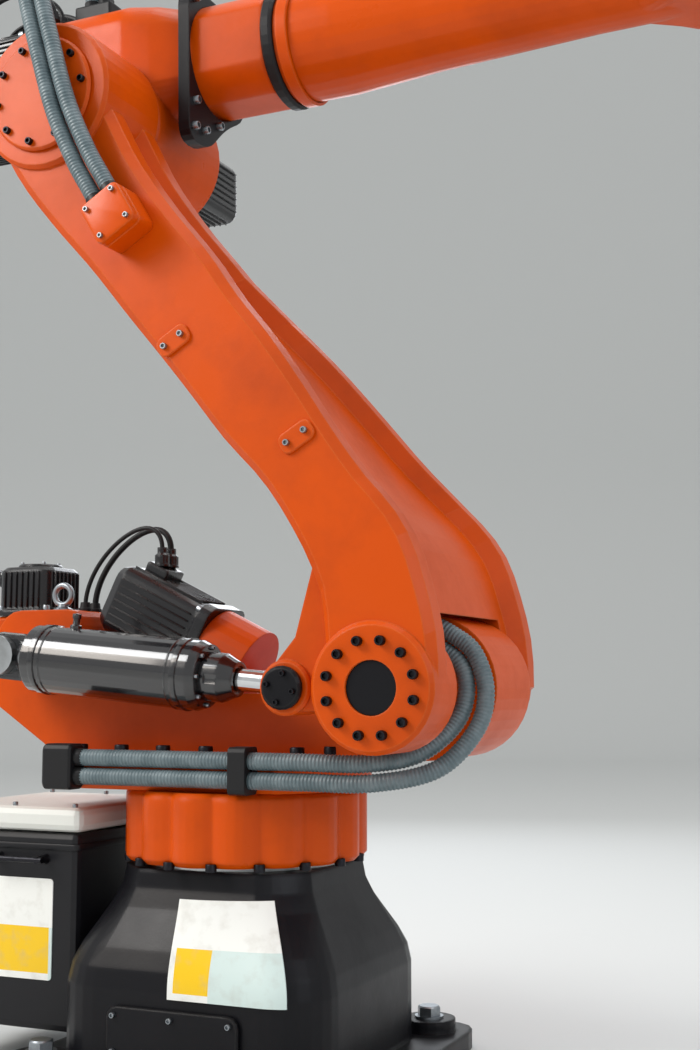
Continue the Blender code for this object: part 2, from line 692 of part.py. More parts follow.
rod = disc("rod", ROD_RADIUS, rod_start, counter_length, "X", (0, 0, 0), SMALL_SIDES)
rod_eye_half = (ROD_LANE_WIDTH - MOVING_GAP) / 2
rod_eye_at = (counter_length, 0.0, 0.0)
rod_pin_y = cheek_inner_y - COUNTER_Y + RUNNING_GAP
rod_eye = disc("eye", ROD_EYE_RADIUS, -rod_eye_half, rod_eye_half, "Y", rod_eye_at, ROUND_SIDES, EDGE_CHAMFER)
rod_pin = disc("pin", PIN_RADIUS, rod_pin_y, 0.0, "Y", rod_eye_at, SMALL_SIDES)
finished(joined(rod, rod_eye, rod_pin), "piston_rod", STEEL, rod_slide)

# The link arm: a long casting, straight on its near side, that widens downwards into a fork
NEAR_HUB_RADIUS = 0.097
FAR_HUB_RADIUS = 0.085
HUB_PROUD = 0.010
ELBOW_HUB_RADIUS = 0.126
ELBOW_INNER_Y = -0.111
LINK_DEPTH = 0.158
RIM_WIDTH = 0.034
RIM_CHAMFER = 0.014
CHANNEL_DEPTH = 0.028
EAR_RADIUS = 0.042
EAR_WEB_CORNER_X = -0.078
EAR_WEB_CORNER_Z = 0.135
EAR_WEB_TOP_Z = 0.210
LINK_SECTIONS = 34

# Height as a share of the length, back and front as shares of the depth, and how far the fork has widened
link_station_shares = (
    (-0.043, -0.40, 0.52, 1.000),
    (0.000, -0.47, 0.70, 1.000),
    (0.087, -0.22, 0.92, 1.000),
    (0.139, -0.04, 1.00, 1.000),
    (0.183, 0.02, 1.00, 0.990),
    (0.243, 0.04, 0.92, 0.962),
    (0.313, 0.01, 0.87, 0.777),
    (0.400, -0.13, 0.84, 0.581),
    (0.487, -0.22, 0.79, 0.407),
    (0.565, -0.31, 0.71, 0.234),
    (0.628, -0.39, 0.68, 0.000),
    (0.740, -0.52, 0.56, 0.000),
    (0.826, -0.65, 0.51, 0.000),
    (0.920, -0.75, 0.54, 0.000),
    (1.000, -0.76, 0.54, 0.000),
)
widening = LINK_FAR_Y - ELBOW_INNER_Y


def link_section(z, back, front, far):
    """One section of the link arm: bevelled corners and a shallow channel down its front."""
    near = LINK_NEAR_Y
    c = RIM_CHAMFER
    rim = min(RIM_WIDTH, (far - near) * 0.22)
    depth = min(CHANNEL_DEPTH, (front - back) * 0.4)
    slope = depth * 0.6
    outline = [
        (back + c, near),
        (front - c, near),
        (front, near + c),
        (front, near + c + rim),
        (front - depth, near + c + rim + slope),
        (front - depth, far - c - rim - slope),
        (front, far - c - rim),
        (front, far - c),
        (front - c, far),
        (back + c, far),
        (back, far - c),
        (back, near + c),
    ]
    return [(x, y, z) for x, y in outline]


def smoothed(stations, count):
    """Stations evenly spread in height, on cubic curves that pass through the given ones."""
    rows = np.array(stations)
    heights = np.linspace(rows[0, 0], rows[-1, 0], count)
    slopes = np.gradient(rows, rows[:, 0], axis=0)
    below = np.clip(np.searchsorted(rows[:, 0], heights, "right") - 1, 0, len(rows) - 2)
    span = (rows[below + 1, 0] - rows[below, 0])[:, None]
    t = (heights - rows[below, 0])[:, None] / span
    start = (1 + 2 * t) * (1 - t) ** 2 * rows[below] + t * (1 - t) ** 2 * span * slopes[below]
    end = t**2 * (3 - 2 * t) * rows[below + 1] + t**2 * (t - 1) * span * slopes[below + 1]
    return start + end


sections = []
for height, back, front, widened in smoothed(link_station_shares, LINK_SECTIONS):
    far = ELBOW_INNER_Y + min(max(widened, 0.0), 1.0) * widening
    sections.append(link_section(height * LINK_LENGTH, back * LINK_DEPTH, front * LINK_DEPTH, far))
link_casting = loft("link", sections)
hub_near_y = LINK_NEAR_Y - HUB_PROUD
far_face_y = LINK_FAR_Y + HUB_PROUD
far_cheek_inner_y = LINK_FAR_Y - FAR_CHEEK_WIDTH
on_axis = (0.0, 0.0, 0.0)
elbow_at = (0.0, 0.0, LINK_LENGTH)
near_hub = disc("hub", NEAR_HUB_RADIUS, hub_near_y, cheek_inner_y, "Y", on_axis, FINE_SIDES, HUB_CHAMFER)
far_hub = disc("hub", FAR_HUB_RADIUS, far_cheek_inner_y, far_face_y, "Y", on_axis, FINE_SIDES, HUB_CHAMFER)
elbow_hub = disc("hub", ELBOW_HUB_RADIUS, hub_near_y, ELBOW_INNER_Y, "Y", elbow_at, FINE_SIDES, HUB_CHAMFER)
ear_x_local = -EAR_RADIUS_FROM_AXIS * math.sin(EAR_BEHIND)
ear_z_local = EAR_RADIUS_FROM_AXIS * math.cos(EAR_BEHIND)
ear_near_y = LINK_NEAR_Y + RIM_CHAMFER
ear_at = (ear_x_local, 0.0, ear_z_local)
ear = disc("ear", EAR_RADIUS, ear_near_y, cheek_inner_y, "Y", ear_at, ROUND_SIDES, EDGE_CHAMFER)
ear_web_outline = [
    (ear_x_local, ear_z_local - EAR_RADIUS * 0.95),
    (0.0, -EAR_RADIUS),
    (EAR_RADIUS * 0.4, EAR_WEB_TOP_Z),
    (0.0, EAR_WEB_TOP_Z),
    (EAR_WEB_CORNER_X, EAR_WEB_CORNER_Z),
    (ear_x_local - EAR_RADIUS * 0.5, ear_z_local + EAR_RADIUS * 0.8),
]
ear_web = prism("web", ear_web_outline, "XZ", ear_near_y + HUB_PROUD, cheek_inner_y)
joined(link_casting, near_hub, far_hub, elbow_hub, ear_web, ear)

# The fork is opened by an arch across it, a round chamber for the shoulder drum, a relief behind for the
# column's wall, and a pocket in the chamber's roof that the hoses rise into
ARCH_TOP_Z = 0.040
ARCH_CORNER = 0.090
CHAMBER_RADIUS = 0.127
RELIEF_FRONT_X = -0.012
RELIEF_TOP_Z = 0.170
POCKET_REAR_X = -0.010
POCKET_FRONT_X = 0.095
POCKET_NEAR_Y = -0.125
POCKET_FAR_Y = -0.050
POCKET_TOP_Z = 0.155

arch_low = (cheek_inner_y, -NEAR_HUB_RADIUS * 3)
arch_high = (far_cheek_inner_y, ARCH_TOP_Z)
arch_outline = rounded_rectangle(arch_low, arch_high, ARCH_CORNER, 6)
arch = prism("arch", arch_outline, "YZ", -LINK_DEPTH * 2, LINK_DEPTH * 2)
chamber = disc("chamber", CHAMBER_RADIUS, cheek_inner_y, far_cheek_inner_y, "Y", on_axis, FINE_SIDES)
relief_low = (-LINK_DEPTH * 2, cheek_inner_y, -NEAR_HUB_RADIUS * 2)
relief_high = (RELIEF_FRONT_X, far_cheek_inner_y, RELIEF_TOP_Z)
pocket_low = (POCKET_REAR_X, POCKET_NEAR_Y, 0.0)
pocket_high = (POCKET_FRONT_X, POCKET_FAR_Y, POCKET_TOP_Z)

# Recesses for the caps at both ends of the shoulder axis
CAP_RADIUS = 0.040
CAP_RECESS = 0.014
recess_radius = CAP_RADIUS + SEAT_GAP
near_recess_y = hub_near_y + CAP_RECESS
far_recess_y = far_face_y - CAP_RECESS
near_recess = disc("recess", recess_radius, hub_near_y - OVERRUN, near_recess_y, "Y", on_axis, ROUND_SIDES)
far_recess = disc("recess", recess_radius, far_recess_y, far_face_y + OVERRUN, "Y", on_axis, ROUND_SIDES)
relief = block("relief", relief_low, relief_high)
pocket = block("pocket", pocket_low, pocket_high)
cut(link_casting, arch, chamber, relief, pocket, near_recess, far_recess)
finished(link_casting, "link_casting", ORANGE, shoulder)
cap_sunk = CAP_RECESS * 0.3
near_cap = disc("cap", CAP_RADIUS, hub_near_y + cap_sunk, near_recess_y - SEAT_GAP, "Y", on_axis, ROUND_SIDES)
finished(near_cap, "shoulder_cap_near", CAST_BLACK, shoulder)
far_cap = disc("cap", CAP_RADIUS, far_recess_y + SEAT_GAP, far_face_y - cap_sunk, "Y", on_axis, ROUND_SIDES)
finished(far_cap, "shoulder_cap_far", CAST_BLACK, shoulder)
COVER_RADIUS = 0.098
COVER_PROUD = 0.009
PIN_CAP_RADIUS = 0.033
PIN_CAP_PROUD = 0.014
cover_y = hub_near_y - SEAT_GAP
cover_ends = (cover_y - COVER_PROUD, cover_y)
elbow_cover = disc("cover", COVER_RADIUS, *cover_ends, "Y", elbow_at, FINE_SIDES, EDGE_CHAMFER)
finished(elbow_cover, "elbow_cover", ORANGE, shoulder)
pin_cap_y = ear_near_y - SEAT_GAP
pin_cap_ends = (pin_cap_y - PIN_CAP_PROUD, pin_cap_y)
pin_cap = disc("cap", PIN_CAP_RADIUS, *pin_cap_ends, "Y", ear_at, SMALL_SIDES, EDGE_CHAMFER)
finished(pin_cap, "ear_pin_cap", CAST_BLACK, shoulder)

# The arm housing turns on the link arm's elbow and carries the forearm in front and its motors behind
ELBOW_DRUM_RADIUS = 0.118
ELBOW_DRUM_FAR_Y = 0.124
SPIGOT_RADIUS = 0.090
HOUSING_REAR_X = -0.160
HOUSING_FRONT_X = 0.095
HOUSING_FAR_Y = 0.118
HOUSING_LOW = -0.115
HOUSING_HIGH = 0.112
HOUSING_CORNER = 0.055
BARREL_NECK_RADIUS = 0.100
NECK_START_X = 0.150
NECK_END_X = 0.315
PLATE_START_X = 0.158
PLATE_THICKNESS = 0.022
PLATE_DROP = 0.172
PLATE_FAR_DROP = 0.070
PLATE_STEP_Y = 0.030
PLATE_STEP_DROP = 0.110
PLATE_LOW_Y = -0.035
PLATE_CORNER = 0.040

drum_ends = (ARM_NEAR_Y, ELBOW_DRUM_FAR_Y)
elbow_drum = disc("drum", ELBOW_DRUM_RADIUS, *drum_ends, "Y", on_axis, FINE_SIDES, HUB_CHAMFER)
spigot = disc("spigot", SPIGOT_RADIUS, ELBOW_INNER_Y + RUNNING_GAP, 0.0, "Y", (0, 0, 0), ROUND_SIDES)
housing_outline = rounded_rectangle((ARM_NEAR_Y, HOUSING_LOW), (HOUSING_FAR_Y, HOUSING_HIGH), HOUSING_CORNER, 7)


def towards_round(outline, share):
    """An outline part of the way to the circle of the neck."""
    changed = []
    for y, z in outline:
        reach = math.hypot(y, z)
        scale = 1 - share + share * BARREL_NECK_RADIUS / reach
        changed.append((y * scale, z * scale))
    return changed


tight = [(y * 0.93, z * 0.93) for y, z in housing_outline]
housing_levels = (
    (tight, HOUSING_REAR_X),
    (housing_outline, HOUSING_REAR_X + HOUSING_CORNER * 0.3),
    (housing_outline, HOUSING_FRONT_X - HOUSING_CORNER),
    (towards_round(housing_outline, 0.35), HOUSING_FRONT_X),
    (towards_round(housing_outline, 1.0), NECK_START_X),
    (towards_round(housing_outline, 1.0), NECK_END_X),
)
arm_casting = loft("arm", [[(x, y, z + FOREARM_RISE) for y, z in flat] for flat, x in housing_levels])
joined(arm_casting, elbow_drum, spigot)
finished(arm_casting, "arm_casting", ORANGE, elbow)
plate_corners = [
    (-ARM_NEAR_Y, FOREARM_RISE + HOUSING_HIGH),
    (ARM_NEAR_Y, FOREARM_RISE + HOUSING_HIGH),
    (ARM_NEAR_Y, FOREARM_RISE - PLATE_DROP),
    (PLATE_LOW_Y, FOREARM_RISE - PLATE_DROP),
    (PLATE_STEP_Y, FOREARM_RISE - PLATE_STEP_DROP),
    (-ARM_NEAR_Y, FOREARM_RISE - PLATE_FAR_DROP),
]
plate_outline = filleted(plate_corners, PLATE_CORNER, 4)
front_plate = prism("plate", plate_outline, "YZ", PLATE_START_X, PLATE_START_X + PLATE_THICKNESS)
forearm_axis_at = (0.0, 0.0, FOREARM_RISE)
# A polygon's flats lie inside its circle, so the bore is that much wider to clear the neck
plate_bore_radius = (BARREL_NECK_RADIUS + SEAT_GAP) / math.cos(math.pi / FINE_SIDES)
plate_bore = disc("bore", plate_bore_radius, 0.0, NECK_END_X, "X", forearm_axis_at, FINE_SIDES)
finished(cut(front_plate, plate_bore), "arm_front_plate", BLACK, elbow)
ELBOW_MOTOR_SIDE = 0.128
ELBOW_MOTOR_LENGTH = 0.185
REAR_MOTOR_SIDE = 0.092
REAR_MOTOR_LENGTH = 0.190
REAR_MOTOR_SPREAD = 0.102
REAR_MOTOR_RISE = 0.056
REAR_MOTOR_DROP = 0.052
elbow_motor = motor(ELBOW_MOTOR_SIDE, ELBOW_MOTOR_LENGTH)
to_far_side = Matrix.Rotation(math.pi / 2, 4, "Z")
moved(elbow_motor, Matrix.Translation((0.0, ELBOW_DRUM_FAR_Y + SEAT_GAP, 0.0)) @ to_far_side)
finished(elbow_motor, "elbow_motor", BLACK, elbow)
rear_motors = (
    ("forearm_motor", -REAR_MOTOR_SPREAD / 2, REAR_MOTOR_RISE),
    ("wrist_motor", REAR_MOTOR_SPREAD / 2, REAR_MOTOR_RISE),
    ("flange_motor", 0.0, -REAR_MOTOR_DROP),
)
for name, y, rise in rear_motors:
    rear_motor = motor(REAR_MOTOR_SIDE, REAR_MOTOR_LENGTH)
    moved(rear_motor, Matrix.Translation((HOUSING_REAR_X - SEAT_GAP, y, FOREARM_RISE + rise)) @ backwards)
    finished(rear_motor, name, BLACK, elbow)

# The forearm turns about its own length: a seal ring, a tapering tube and a fork for the wrist
SEAL_LENGTH = 0.022
SEAL_RADIUS = 0.105
FORK_HALF_WIDTH = 0.092
FORK_SLOT_HALF = 0.056
FORK_SLOT_DEPTH = 0.120
FORK_EDGE = 0.030
CHEEK_RADIUS = 0.076
WRIST_CAP_RADIUS = 0.052
WRIST_CAP_WIDTH = 0.010

# The neck of the housing is a polygon, so the seal ring and the forearm take their places from its end
seal_start = NECK_END_X + RUNNING_GAP
seal_end = seal_start + SEAL_LENGTH
seal_profile = [
    (0.0, seal_start),
    (BARREL_NECK_RADIUS, seal_start),
    (SEAL_RADIUS, seal_start + SEAL_LENGTH * 0.2),
    (SEAL_RADIUS, seal_end - SEAL_LENGTH * 0.2),
    (BARREL_NECK_RADIUS, seal_end),
    (0.0, seal_end),
]
finished(turned("seal", seal_profile, "X", (0, 0, 0), FINE_SIDES), "forearm_seal_ring", BLACK, roll)
forearm_radius_shares = ((0.0, 0.97), (0.12, 0.97), (0.30, 0.86), (0.62, 0.76), (0.86, 0.74))
forearm_start = seal_end + SEAT_GAP
forearm_span = WRIST_REACH - forearm_start
forearm_profile = [(0.0, forearm_start)]
for along, radius in forearm_radius_shares:
    forearm_profile.append((radius * BARREL_NECK_RADIUS, forearm_start + along * forearm_span))
forearm_profile.append((0.0, forearm_start + forearm_radius_shares[-1][0] * forearm_span))
forearm = turned("forearm", forearm_profile, "X", (0, 0, 0), ROUND_SIDES)
fork_start = forearm_start + 0.70 * forearm_span
fork_slot_start = WRIST_REACH - FORK_SLOT_DEPTH
fork_corner = (FORK_HALF_WIDTH, CHEEK_RADIUS)
square_level = rounded_rectangle((-FORK_HALF_WIDTH, -CHEEK_RADIUS), fork_corner, FORK_EDGE, 5)
round_level = circle(BARREL_NECK_RADIUS * 0.72, len(square_level))
round_level = round_level[3:] + round_level[:3]
fork_body = loft(
    "fork",
    [
        [(fork_start, y, z) for y, z in round_level],
        [(fork_slot_start - FORK_SLOT_HALF, y, z) for y, z in square_level],
        [(WRIST_REACH, y, z) for y, z in square_level],
    ],
)
wrist_at = (WRIST_REACH, 0.0, 0.0)
cheek_ends = (-FORK_HALF_WIDTH, FORK_HALF_WIDTH)
cheek_round = disc("cheek", CHEEK_RADIUS, *cheek_ends, "Y", wrist_at, ROUND_SIDES, EDGE_CHAMFER)
wrist_slot = block(
    "slot",
    (fork_slot_start, -FORK_SLOT_HALF, -CHEEK_RADIUS * 2),
    (WRIST_REACH + CHEEK_RADIUS * 2, FORK_SLOT_HALF, CHEEK_RADIUS * 2),
)
cut(joined(forearm, fork_body, cheek_round), wrist_slot)
finished(forearm, "forearm_casting", ORANGE, roll)
for side, name in ((-1, "wrist_cap_near"), (1, "wrist_cap_far")):
    inner = side * (FORK_HALF_WIDTH + SEAT_GAP)
    cap_ends = sorted((inner, inner + side * WRIST_CAP_WIDTH))
    cap = disc("cap", WRIST_CAP_RADIUS, *cap_ends, "Y", wrist_at, ROUND_SIDES, EDGE_CHAMFER)
    finished(cap, name, BLACK, roll)

# The wrist casting swings in the fork and carries the flange drive
WRIST_DRUM_RADIUS = 0.070
WRIST_NECK_RADIUS = 0.050
DRIVE_RADIUS = 0.064
DRIVE_START = 0.150
DRIVE_END = 0.190
DRIVE_TAPER = 0.012
FLANGE_TAPER = 0.006
FLANGE_EDGE = 0.002
WRIST_PIN_RADIUS = 0.031
FLANGE_PLATE_RADIUS = 0.080
FLANGE_BORE_RADIUS = 0.0315
FLANGE_BORE_DEPTH = 0.008
BOLT_CIRCLE = 0.0625
BOLT_HOLE_RADIUS = 0.0050
BOLT_HOLE_DEPTH = 0.014
BOLT_HOLES = 11
BOLT_HOLE_SIDES = 12

drum_half = FORK_SLOT_HALF - MOVING_GAP
pin_half = FORK_SLOT_HALF - RUNNING_GAP
wrist_drum = disc("drum", WRIST_DRUM_RADIUS, -drum_half, drum_half, "Y", on_axis, ROUND_SIDES)
wrist_pin = disc("pin", WRIST_PIN_RADIUS, -pin_half, pin_half, "Y", on_axis, ROUND_SIDES)
neck_profile = [
    (0.0, 0.0),
    (WRIST_NECK_RADIUS, 0.0),
    (WRIST_NECK_RADIUS, DRIVE_START - DRIVE_TAPER),
    (DRIVE_RADIUS, DRIVE_START),
    (DRIVE_RADIUS, DRIVE_END),
    (0.0, DRIVE_END),
]
wrist_neck = turned("neck", neck_profile, "X", (0, 0, 0), ROUND_SIDES)
finished(joined(wrist_drum, wrist_pin, wrist_neck), "wrist_casting", ORANGE, wrist)
flange_profile = [
    (0.0, DRIVE_END + RUNNING_GAP),
    (DRIVE_RADIUS, DRIVE_END + RUNNING_GAP),
    (FLANGE_PLATE_RADIUS, DRIVE_END + FLANGE_TAPER),
    (FLANGE_PLATE_RADIUS, FLANGE_REACH - FLANGE_EDGE),
    (FLANGE_PLATE_RADIUS - FLANGE_EDGE, FLANGE_REACH),
    (FLANGE_BORE_RADIUS, FLANGE_REACH),
    (FLANGE_BORE_RADIUS, FLANGE_REACH - FLANGE_BORE_DEPTH),
    (0.0, FLANGE_REACH - FLANGE_BORE_DEPTH),
]
tool_flange = turned("flange", flange_profile, "X", (0, 0, 0), FINE_SIDES)
bolt_holes = []
for hole in range(BOLT_HOLES):
    turn = (hole + 1) * math.tau / (BOLT_HOLES + 1)
    at = (0.0, BOLT_CIRCLE * math.sin(turn), BOLT_CIRCLE * math.cos(turn))
    hole_ends = (FLANGE_REACH - BOLT_HOLE_DEPTH, FLANGE_REACH + OVERRUN)
    bolt_holes.append(disc("hole", BOLT_HOLE_RADIUS, *hole_ends, "X", at, BOLT_HOLE_SIDES))
finished(cut(tool_flange, *bolt_holes), "tool_flange", STEEL, flange)

# The hoses: two along the near side of the column, up between the cheeks, and two that loop round the elbow
HOSE_RADIUS = 0.014
HOSE_PITCH = 0.030
CLAMP_LENGTH = 0.030
CLAMP_WALL = 0.008
CLAMP_FRONT_X = 0.105
INLET_FRONT_X = -0.215
INLET_LENGTH = 0.055
GLAND_HEIGHT = 0.036
HOSE_END_GAP = 0.0009
GLAND_MARGIN = 0.010

hose_y = -FLOOR_HALF_WIDTH - SEAT_GAP - CLAMP_WALL - HOSE_RADIUS
hose_low_z = FLOOR_BOTTOM + CLAMP_WALL + HOSE_RADIUS
hose_heights = (hose_low_z, hose_low_z + HOSE_PITCH)
clamp_low = (hose_y - HOSE_RADIUS - CLAMP_WALL, FLOOR_BOTTOM)
clamp_high = (-FLOOR_HALF_WIDTH - SEAT_GAP, hose_heights[1] + HOSE_RADIUS + CLAMP_WALL)
clamp_rear_x = CLAMP_FRONT_X - CLAMP_LENGTH
clamp_outline = rounded_rectangle(clamp_low, clamp_high, CLAMP_WALL, 2)
hose_clamp = prism("clamp", clamp_outline, "YZ", clamp_rear_x, CLAMP_FRONT_X)
bore_ends = (clamp_rear_x - OVERRUN, CLAMP_FRONT_X + OVERRUN)
clamp_bores = [
    disc("bore", HOSE_RADIUS + RUNNING_GAP, *bore_ends, "X", (0.0, hose_y, height), SMALL_SIDES)
    for height in hose_heights
]
finished(cut(hose_clamp, *clamp_bores), "hose_clamp", BLACK, column)
hose_inlet = prism("inlet", clamp_outline, "YZ", INLET_FRONT_X - INLET_LENGTH, INLET_FRONT_X, EDGE_CHAMFER)
finished(hose_inlet, "hose_inlet", BLACK, column)
gland_along = HOSE_PITCH + 2 * HOSE_RADIUS + 2 * GLAND_MARGIN
gland_across = 2 * HOSE_RADIUS + 2 * GLAND_MARGIN


def hose_gland(name, low, high, body):
    """A block with bevelled edges that two hoses leave side by side."""
    finished(block("gland", low, high, EDGE_CHAMFER), name, BLACK, body)


# Where the hoses enter the link arm, in its own frame: under the roof of its pocket, and on its near side
CROTCH_X = 0.045
CROTCH_Y = -0.080
SIDE_GLAND_X = 0.016
SIDE_GLAND_Z = 0.900
SIDE_HOSE_STANDOFF = 0.036
crotch_top = POCKET_TOP_Z - SEAT_GAP
crotch_bottom = crotch_top - GLAND_HEIGHT
hose_gland(
    "hose_gland_lower",
    (CROTCH_X - gland_along / 2, CROTCH_Y - gland_across / 2, crotch_bottom),
    (CROTCH_X + gland_along / 2, CROTCH_Y + gland_across / 2, crotch_top),
    shoulder,
)
side_gland_y = LINK_NEAR_Y - SEAT_GAP
side_hose_y = side_gland_y - SIDE_HOSE_STANDOFF
hose_gland(
    "hose_gland_upper",
    (SIDE_GLAND_X - gland_along / 2, side_hose_y - gland_across / 2, SIDE_GLAND_Z - gland_along),
    (SIDE_GLAND_X + gland_along / 2, side_gland_y, SIDE_GLAND_Z),
    shoulder,
)
ARM_GLAND_X = -0.060
ARM_GLAND_Y = -0.020
arm_gland_bottom = FOREARM_RISE + HOUSING_HIGH + SEAT_GAP
hose_gland(
    "hose_gland_arm",
    (ARM_GLAND_X - gland_along / 2, ARM_GLAND_Y - gland_across / 2, arm_gland_bottom),
    (ARM_GLAND_X + gland_along / 2, ARM_GLAND_Y + gland_across / 2, arm_gland_bottom + GLAND_HEIGHT),
    elbow,
)


def in_column(point):
    """A point of the link arm's frame, at rest, as a point of the column's frame."""
    x, y, z = turned_back(point, LINK_LEAN)
    return (x + SHOULDER_X, y, z + SHOULDER_Z)


def in_link(point):
    """A point of the arm housing's frame, at rest, as a point of the link arm's frame."""
    x, y, z = turned_back(point, ARM_TILT - LINK_LEAN)
    return (x, y, z + LINK_LENGTH)


COLUMN_HOSE_POINTS = 12
SHOULDER_HOSE_POINTS = 36
ELBOW_HOSE_POINTS = 28
split_x = CLAMP_FRONT_X - CLAMP_LENGTH / 2
# The loops of the two shoulder hoses, as distances in front of the shoulder's axis and above it
SHOULDER_RUN_BEHIND = 0.145
lower_forward = (-0.040, 0.050, 0.100, 0.111, 0.090, 0.052, 0.015)
lower_above = (-0.143, -0.122, -0.065, -0.005, 0.054, 0.084, 0.103)
upper_forward = (-0.050, 0.020, 0.067, 0.080, 0.066, 0.021, -0.009)
upper_above = (-0.114, -0.100, -0.055, -0.005, 0.039, 0.069, 0.084)
loop_side = (-0.174, -0.140, -0.105, -0.088, -0.081, -0.080, -0.080)
elbow_route_side = ((-0.308, 0.990), (-0.314, 1.080), (-0.316, 1.180), (-0.309, 1.300), (-0.285, 1.410))
elbow_route_top = ((-0.220, 1.485), (-0.130, 1.515), (-0.055, 1.490))
elbow_route_forward = (0.001, 0.013, 0.038, 0.068, 0.096, 0.116, 0.120, 0.108)

shoulder_loops = (zip(lower_forward, loop_side, lower_above), zip(upper_forward, loop_side, upper_above))
for row, name in enumerate(("lower", "upper")):
    height = hose_heights[row]
    shift = HOSE_PITCH / 2 - row * HOSE_PITCH
    start = (INLET_FRONT_X + SEAT_GAP, hose_y, height)
    middle = (split_x - SEAT_GAP / 2, hose_y, height)
    hose("column_hose_" + name, [start, middle], COLUMN_HOSE_POINTS, column)
    begin = (split_x + SEAT_GAP / 2, hose_y, height)
    leave = (CLAMP_FRONT_X, hose_y, height)
    run_end = (SHOULDER_X - SHOULDER_RUN_BEHIND, hose_y, height)
    between = [(SHOULDER_X + x, y, SHOULDER_Z + z) for x, y, z in shoulder_loops[row]]
    ends = [
        in_column((CROTCH_X + shift, CROTCH_Y, crotch_bottom - below))
        for below in (GLAND_HEIGHT / 2, HOSE_END_GAP)
    ]
    hose("shoulder_hose_" + name, [begin, leave, run_end, *between, *ends], SHOULDER_HOSE_POINTS, column)

for row, name in enumerate(("rear", "front")):
    shift = row * HOSE_PITCH - HOSE_PITCH / 2
    starts = [
        (SIDE_GLAND_X + shift, side_hose_y, SIDE_GLAND_Z + above)
        for above in (HOSE_END_GAP, GLAND_HEIGHT / 2, GLAND_HEIGHT)
    ]
    climb = [
        (SIDE_GLAND_X + shift + forward, y, z)
        for forward, (y, z) in zip(elbow_route_forward, elbow_route_side + elbow_route_top)
    ]
    ends = [
        in_link((ARM_GLAND_X + shift, ARM_GLAND_Y, arm_gland_bottom + GLAND_HEIGHT + above))
        for above in (GLAND_HEIGHT, GLAND_HEIGHT / 2, HOSE_END_GAP)
    ]
    hose("elbow_hose_" + name, [*starts, *climb, *ends], ELBOW_HOSE_POINTS, shoulder)
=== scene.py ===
"""An industrial robot arm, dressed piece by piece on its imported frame. Metres, +Z up, +X along the arm."""

import json
import math

import bmesh
import bpy
import numpy as np
from mathutils import Matrix, Vector


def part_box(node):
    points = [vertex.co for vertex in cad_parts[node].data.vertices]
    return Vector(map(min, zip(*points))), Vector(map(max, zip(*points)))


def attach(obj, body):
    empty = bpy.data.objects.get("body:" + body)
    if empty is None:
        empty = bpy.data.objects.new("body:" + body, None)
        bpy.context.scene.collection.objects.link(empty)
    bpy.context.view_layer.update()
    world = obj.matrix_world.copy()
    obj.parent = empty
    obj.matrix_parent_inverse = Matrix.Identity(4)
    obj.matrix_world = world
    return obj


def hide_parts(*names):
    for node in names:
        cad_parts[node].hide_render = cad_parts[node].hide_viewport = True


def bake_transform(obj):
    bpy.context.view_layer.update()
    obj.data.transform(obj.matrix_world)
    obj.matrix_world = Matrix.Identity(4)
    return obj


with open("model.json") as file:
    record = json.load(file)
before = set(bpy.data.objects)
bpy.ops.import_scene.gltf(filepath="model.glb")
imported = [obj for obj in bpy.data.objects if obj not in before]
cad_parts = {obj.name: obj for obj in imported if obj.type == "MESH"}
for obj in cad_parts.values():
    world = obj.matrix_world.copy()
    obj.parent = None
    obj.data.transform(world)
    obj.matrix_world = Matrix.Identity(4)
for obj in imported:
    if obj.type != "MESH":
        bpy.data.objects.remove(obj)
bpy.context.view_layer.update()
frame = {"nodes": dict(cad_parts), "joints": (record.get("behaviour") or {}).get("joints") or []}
nodes = frame["nodes"]

# The room: a pale floor that curves up into a pale wall behind the arm.
# Soft lamps light it from high on both sides, from above and behind, and a smaller one stands in for a window.
scene = bpy.context.scene
scene.view_settings.view_transform = "Standard"


def linear(hex_colour):
    """The linear value of an sRGB hex colour: a straight toe, then ((c + 0.055) / 1.055) to the power 2.4."""
    srgb = np.array([int(hex_colour[i : i + 2], 16) for i in (1, 3, 5)]) / 255
    toe, curve = srgb / 12.92, ((srgb + 0.055) / 1.055) ** 2.4
    return (*np.where(srgb <= 0.04045, toe, curve), 1.0)


def add(tree, kind, inputs=(), **settings):
    """Adds one node: settings are its own values, and inputs gives a socket a value or the output that feeds it."""
    made = tree.nodes.new("ShaderNode" + kind)
    for name, value in settings.items():
        setattr(made, name, value)
    for socket, value in dict(inputs).items():
        if isinstance(value, bpy.types.NodeSocket):
            tree.links.new(value, made.inputs[socket])
        else:
            made.inputs[socket].default_value = value
    return made


def feed(tree, shader, sources):
    """Links outputs to the shader's sockets, by the sockets' names."""
    for socket, source in sources.items():
        tree.links.new(source, shader.inputs[socket])


def new_material(name):
    """An empty material, its tree and its shader."""
    material = bpy.data.materials.new(name)
    material.use_nodes = True
    tree = material.node_tree
    return material, tree, tree.nodes["Principled BSDF"]


def surface(name, points, faces, smooth_degrees=35.0):
    """A mesh object at the origin from whole arrays of points and faces, shaded smooth up to an angle."""
    mesh = bpy.data.meshes.new(name)
    mesh.from_pydata(np.asarray(points, float).reshape(-1, 3).tolist(), [], [list(face) for face in faces])
    mesh.shade_smooth()
    mesh.set_sharp_from_angle(angle=math.radians(smooth_degrees))
    piece = bpy.data.objects.new(name, mesh)
    scene.collection.objects.link(piece)
    return piece


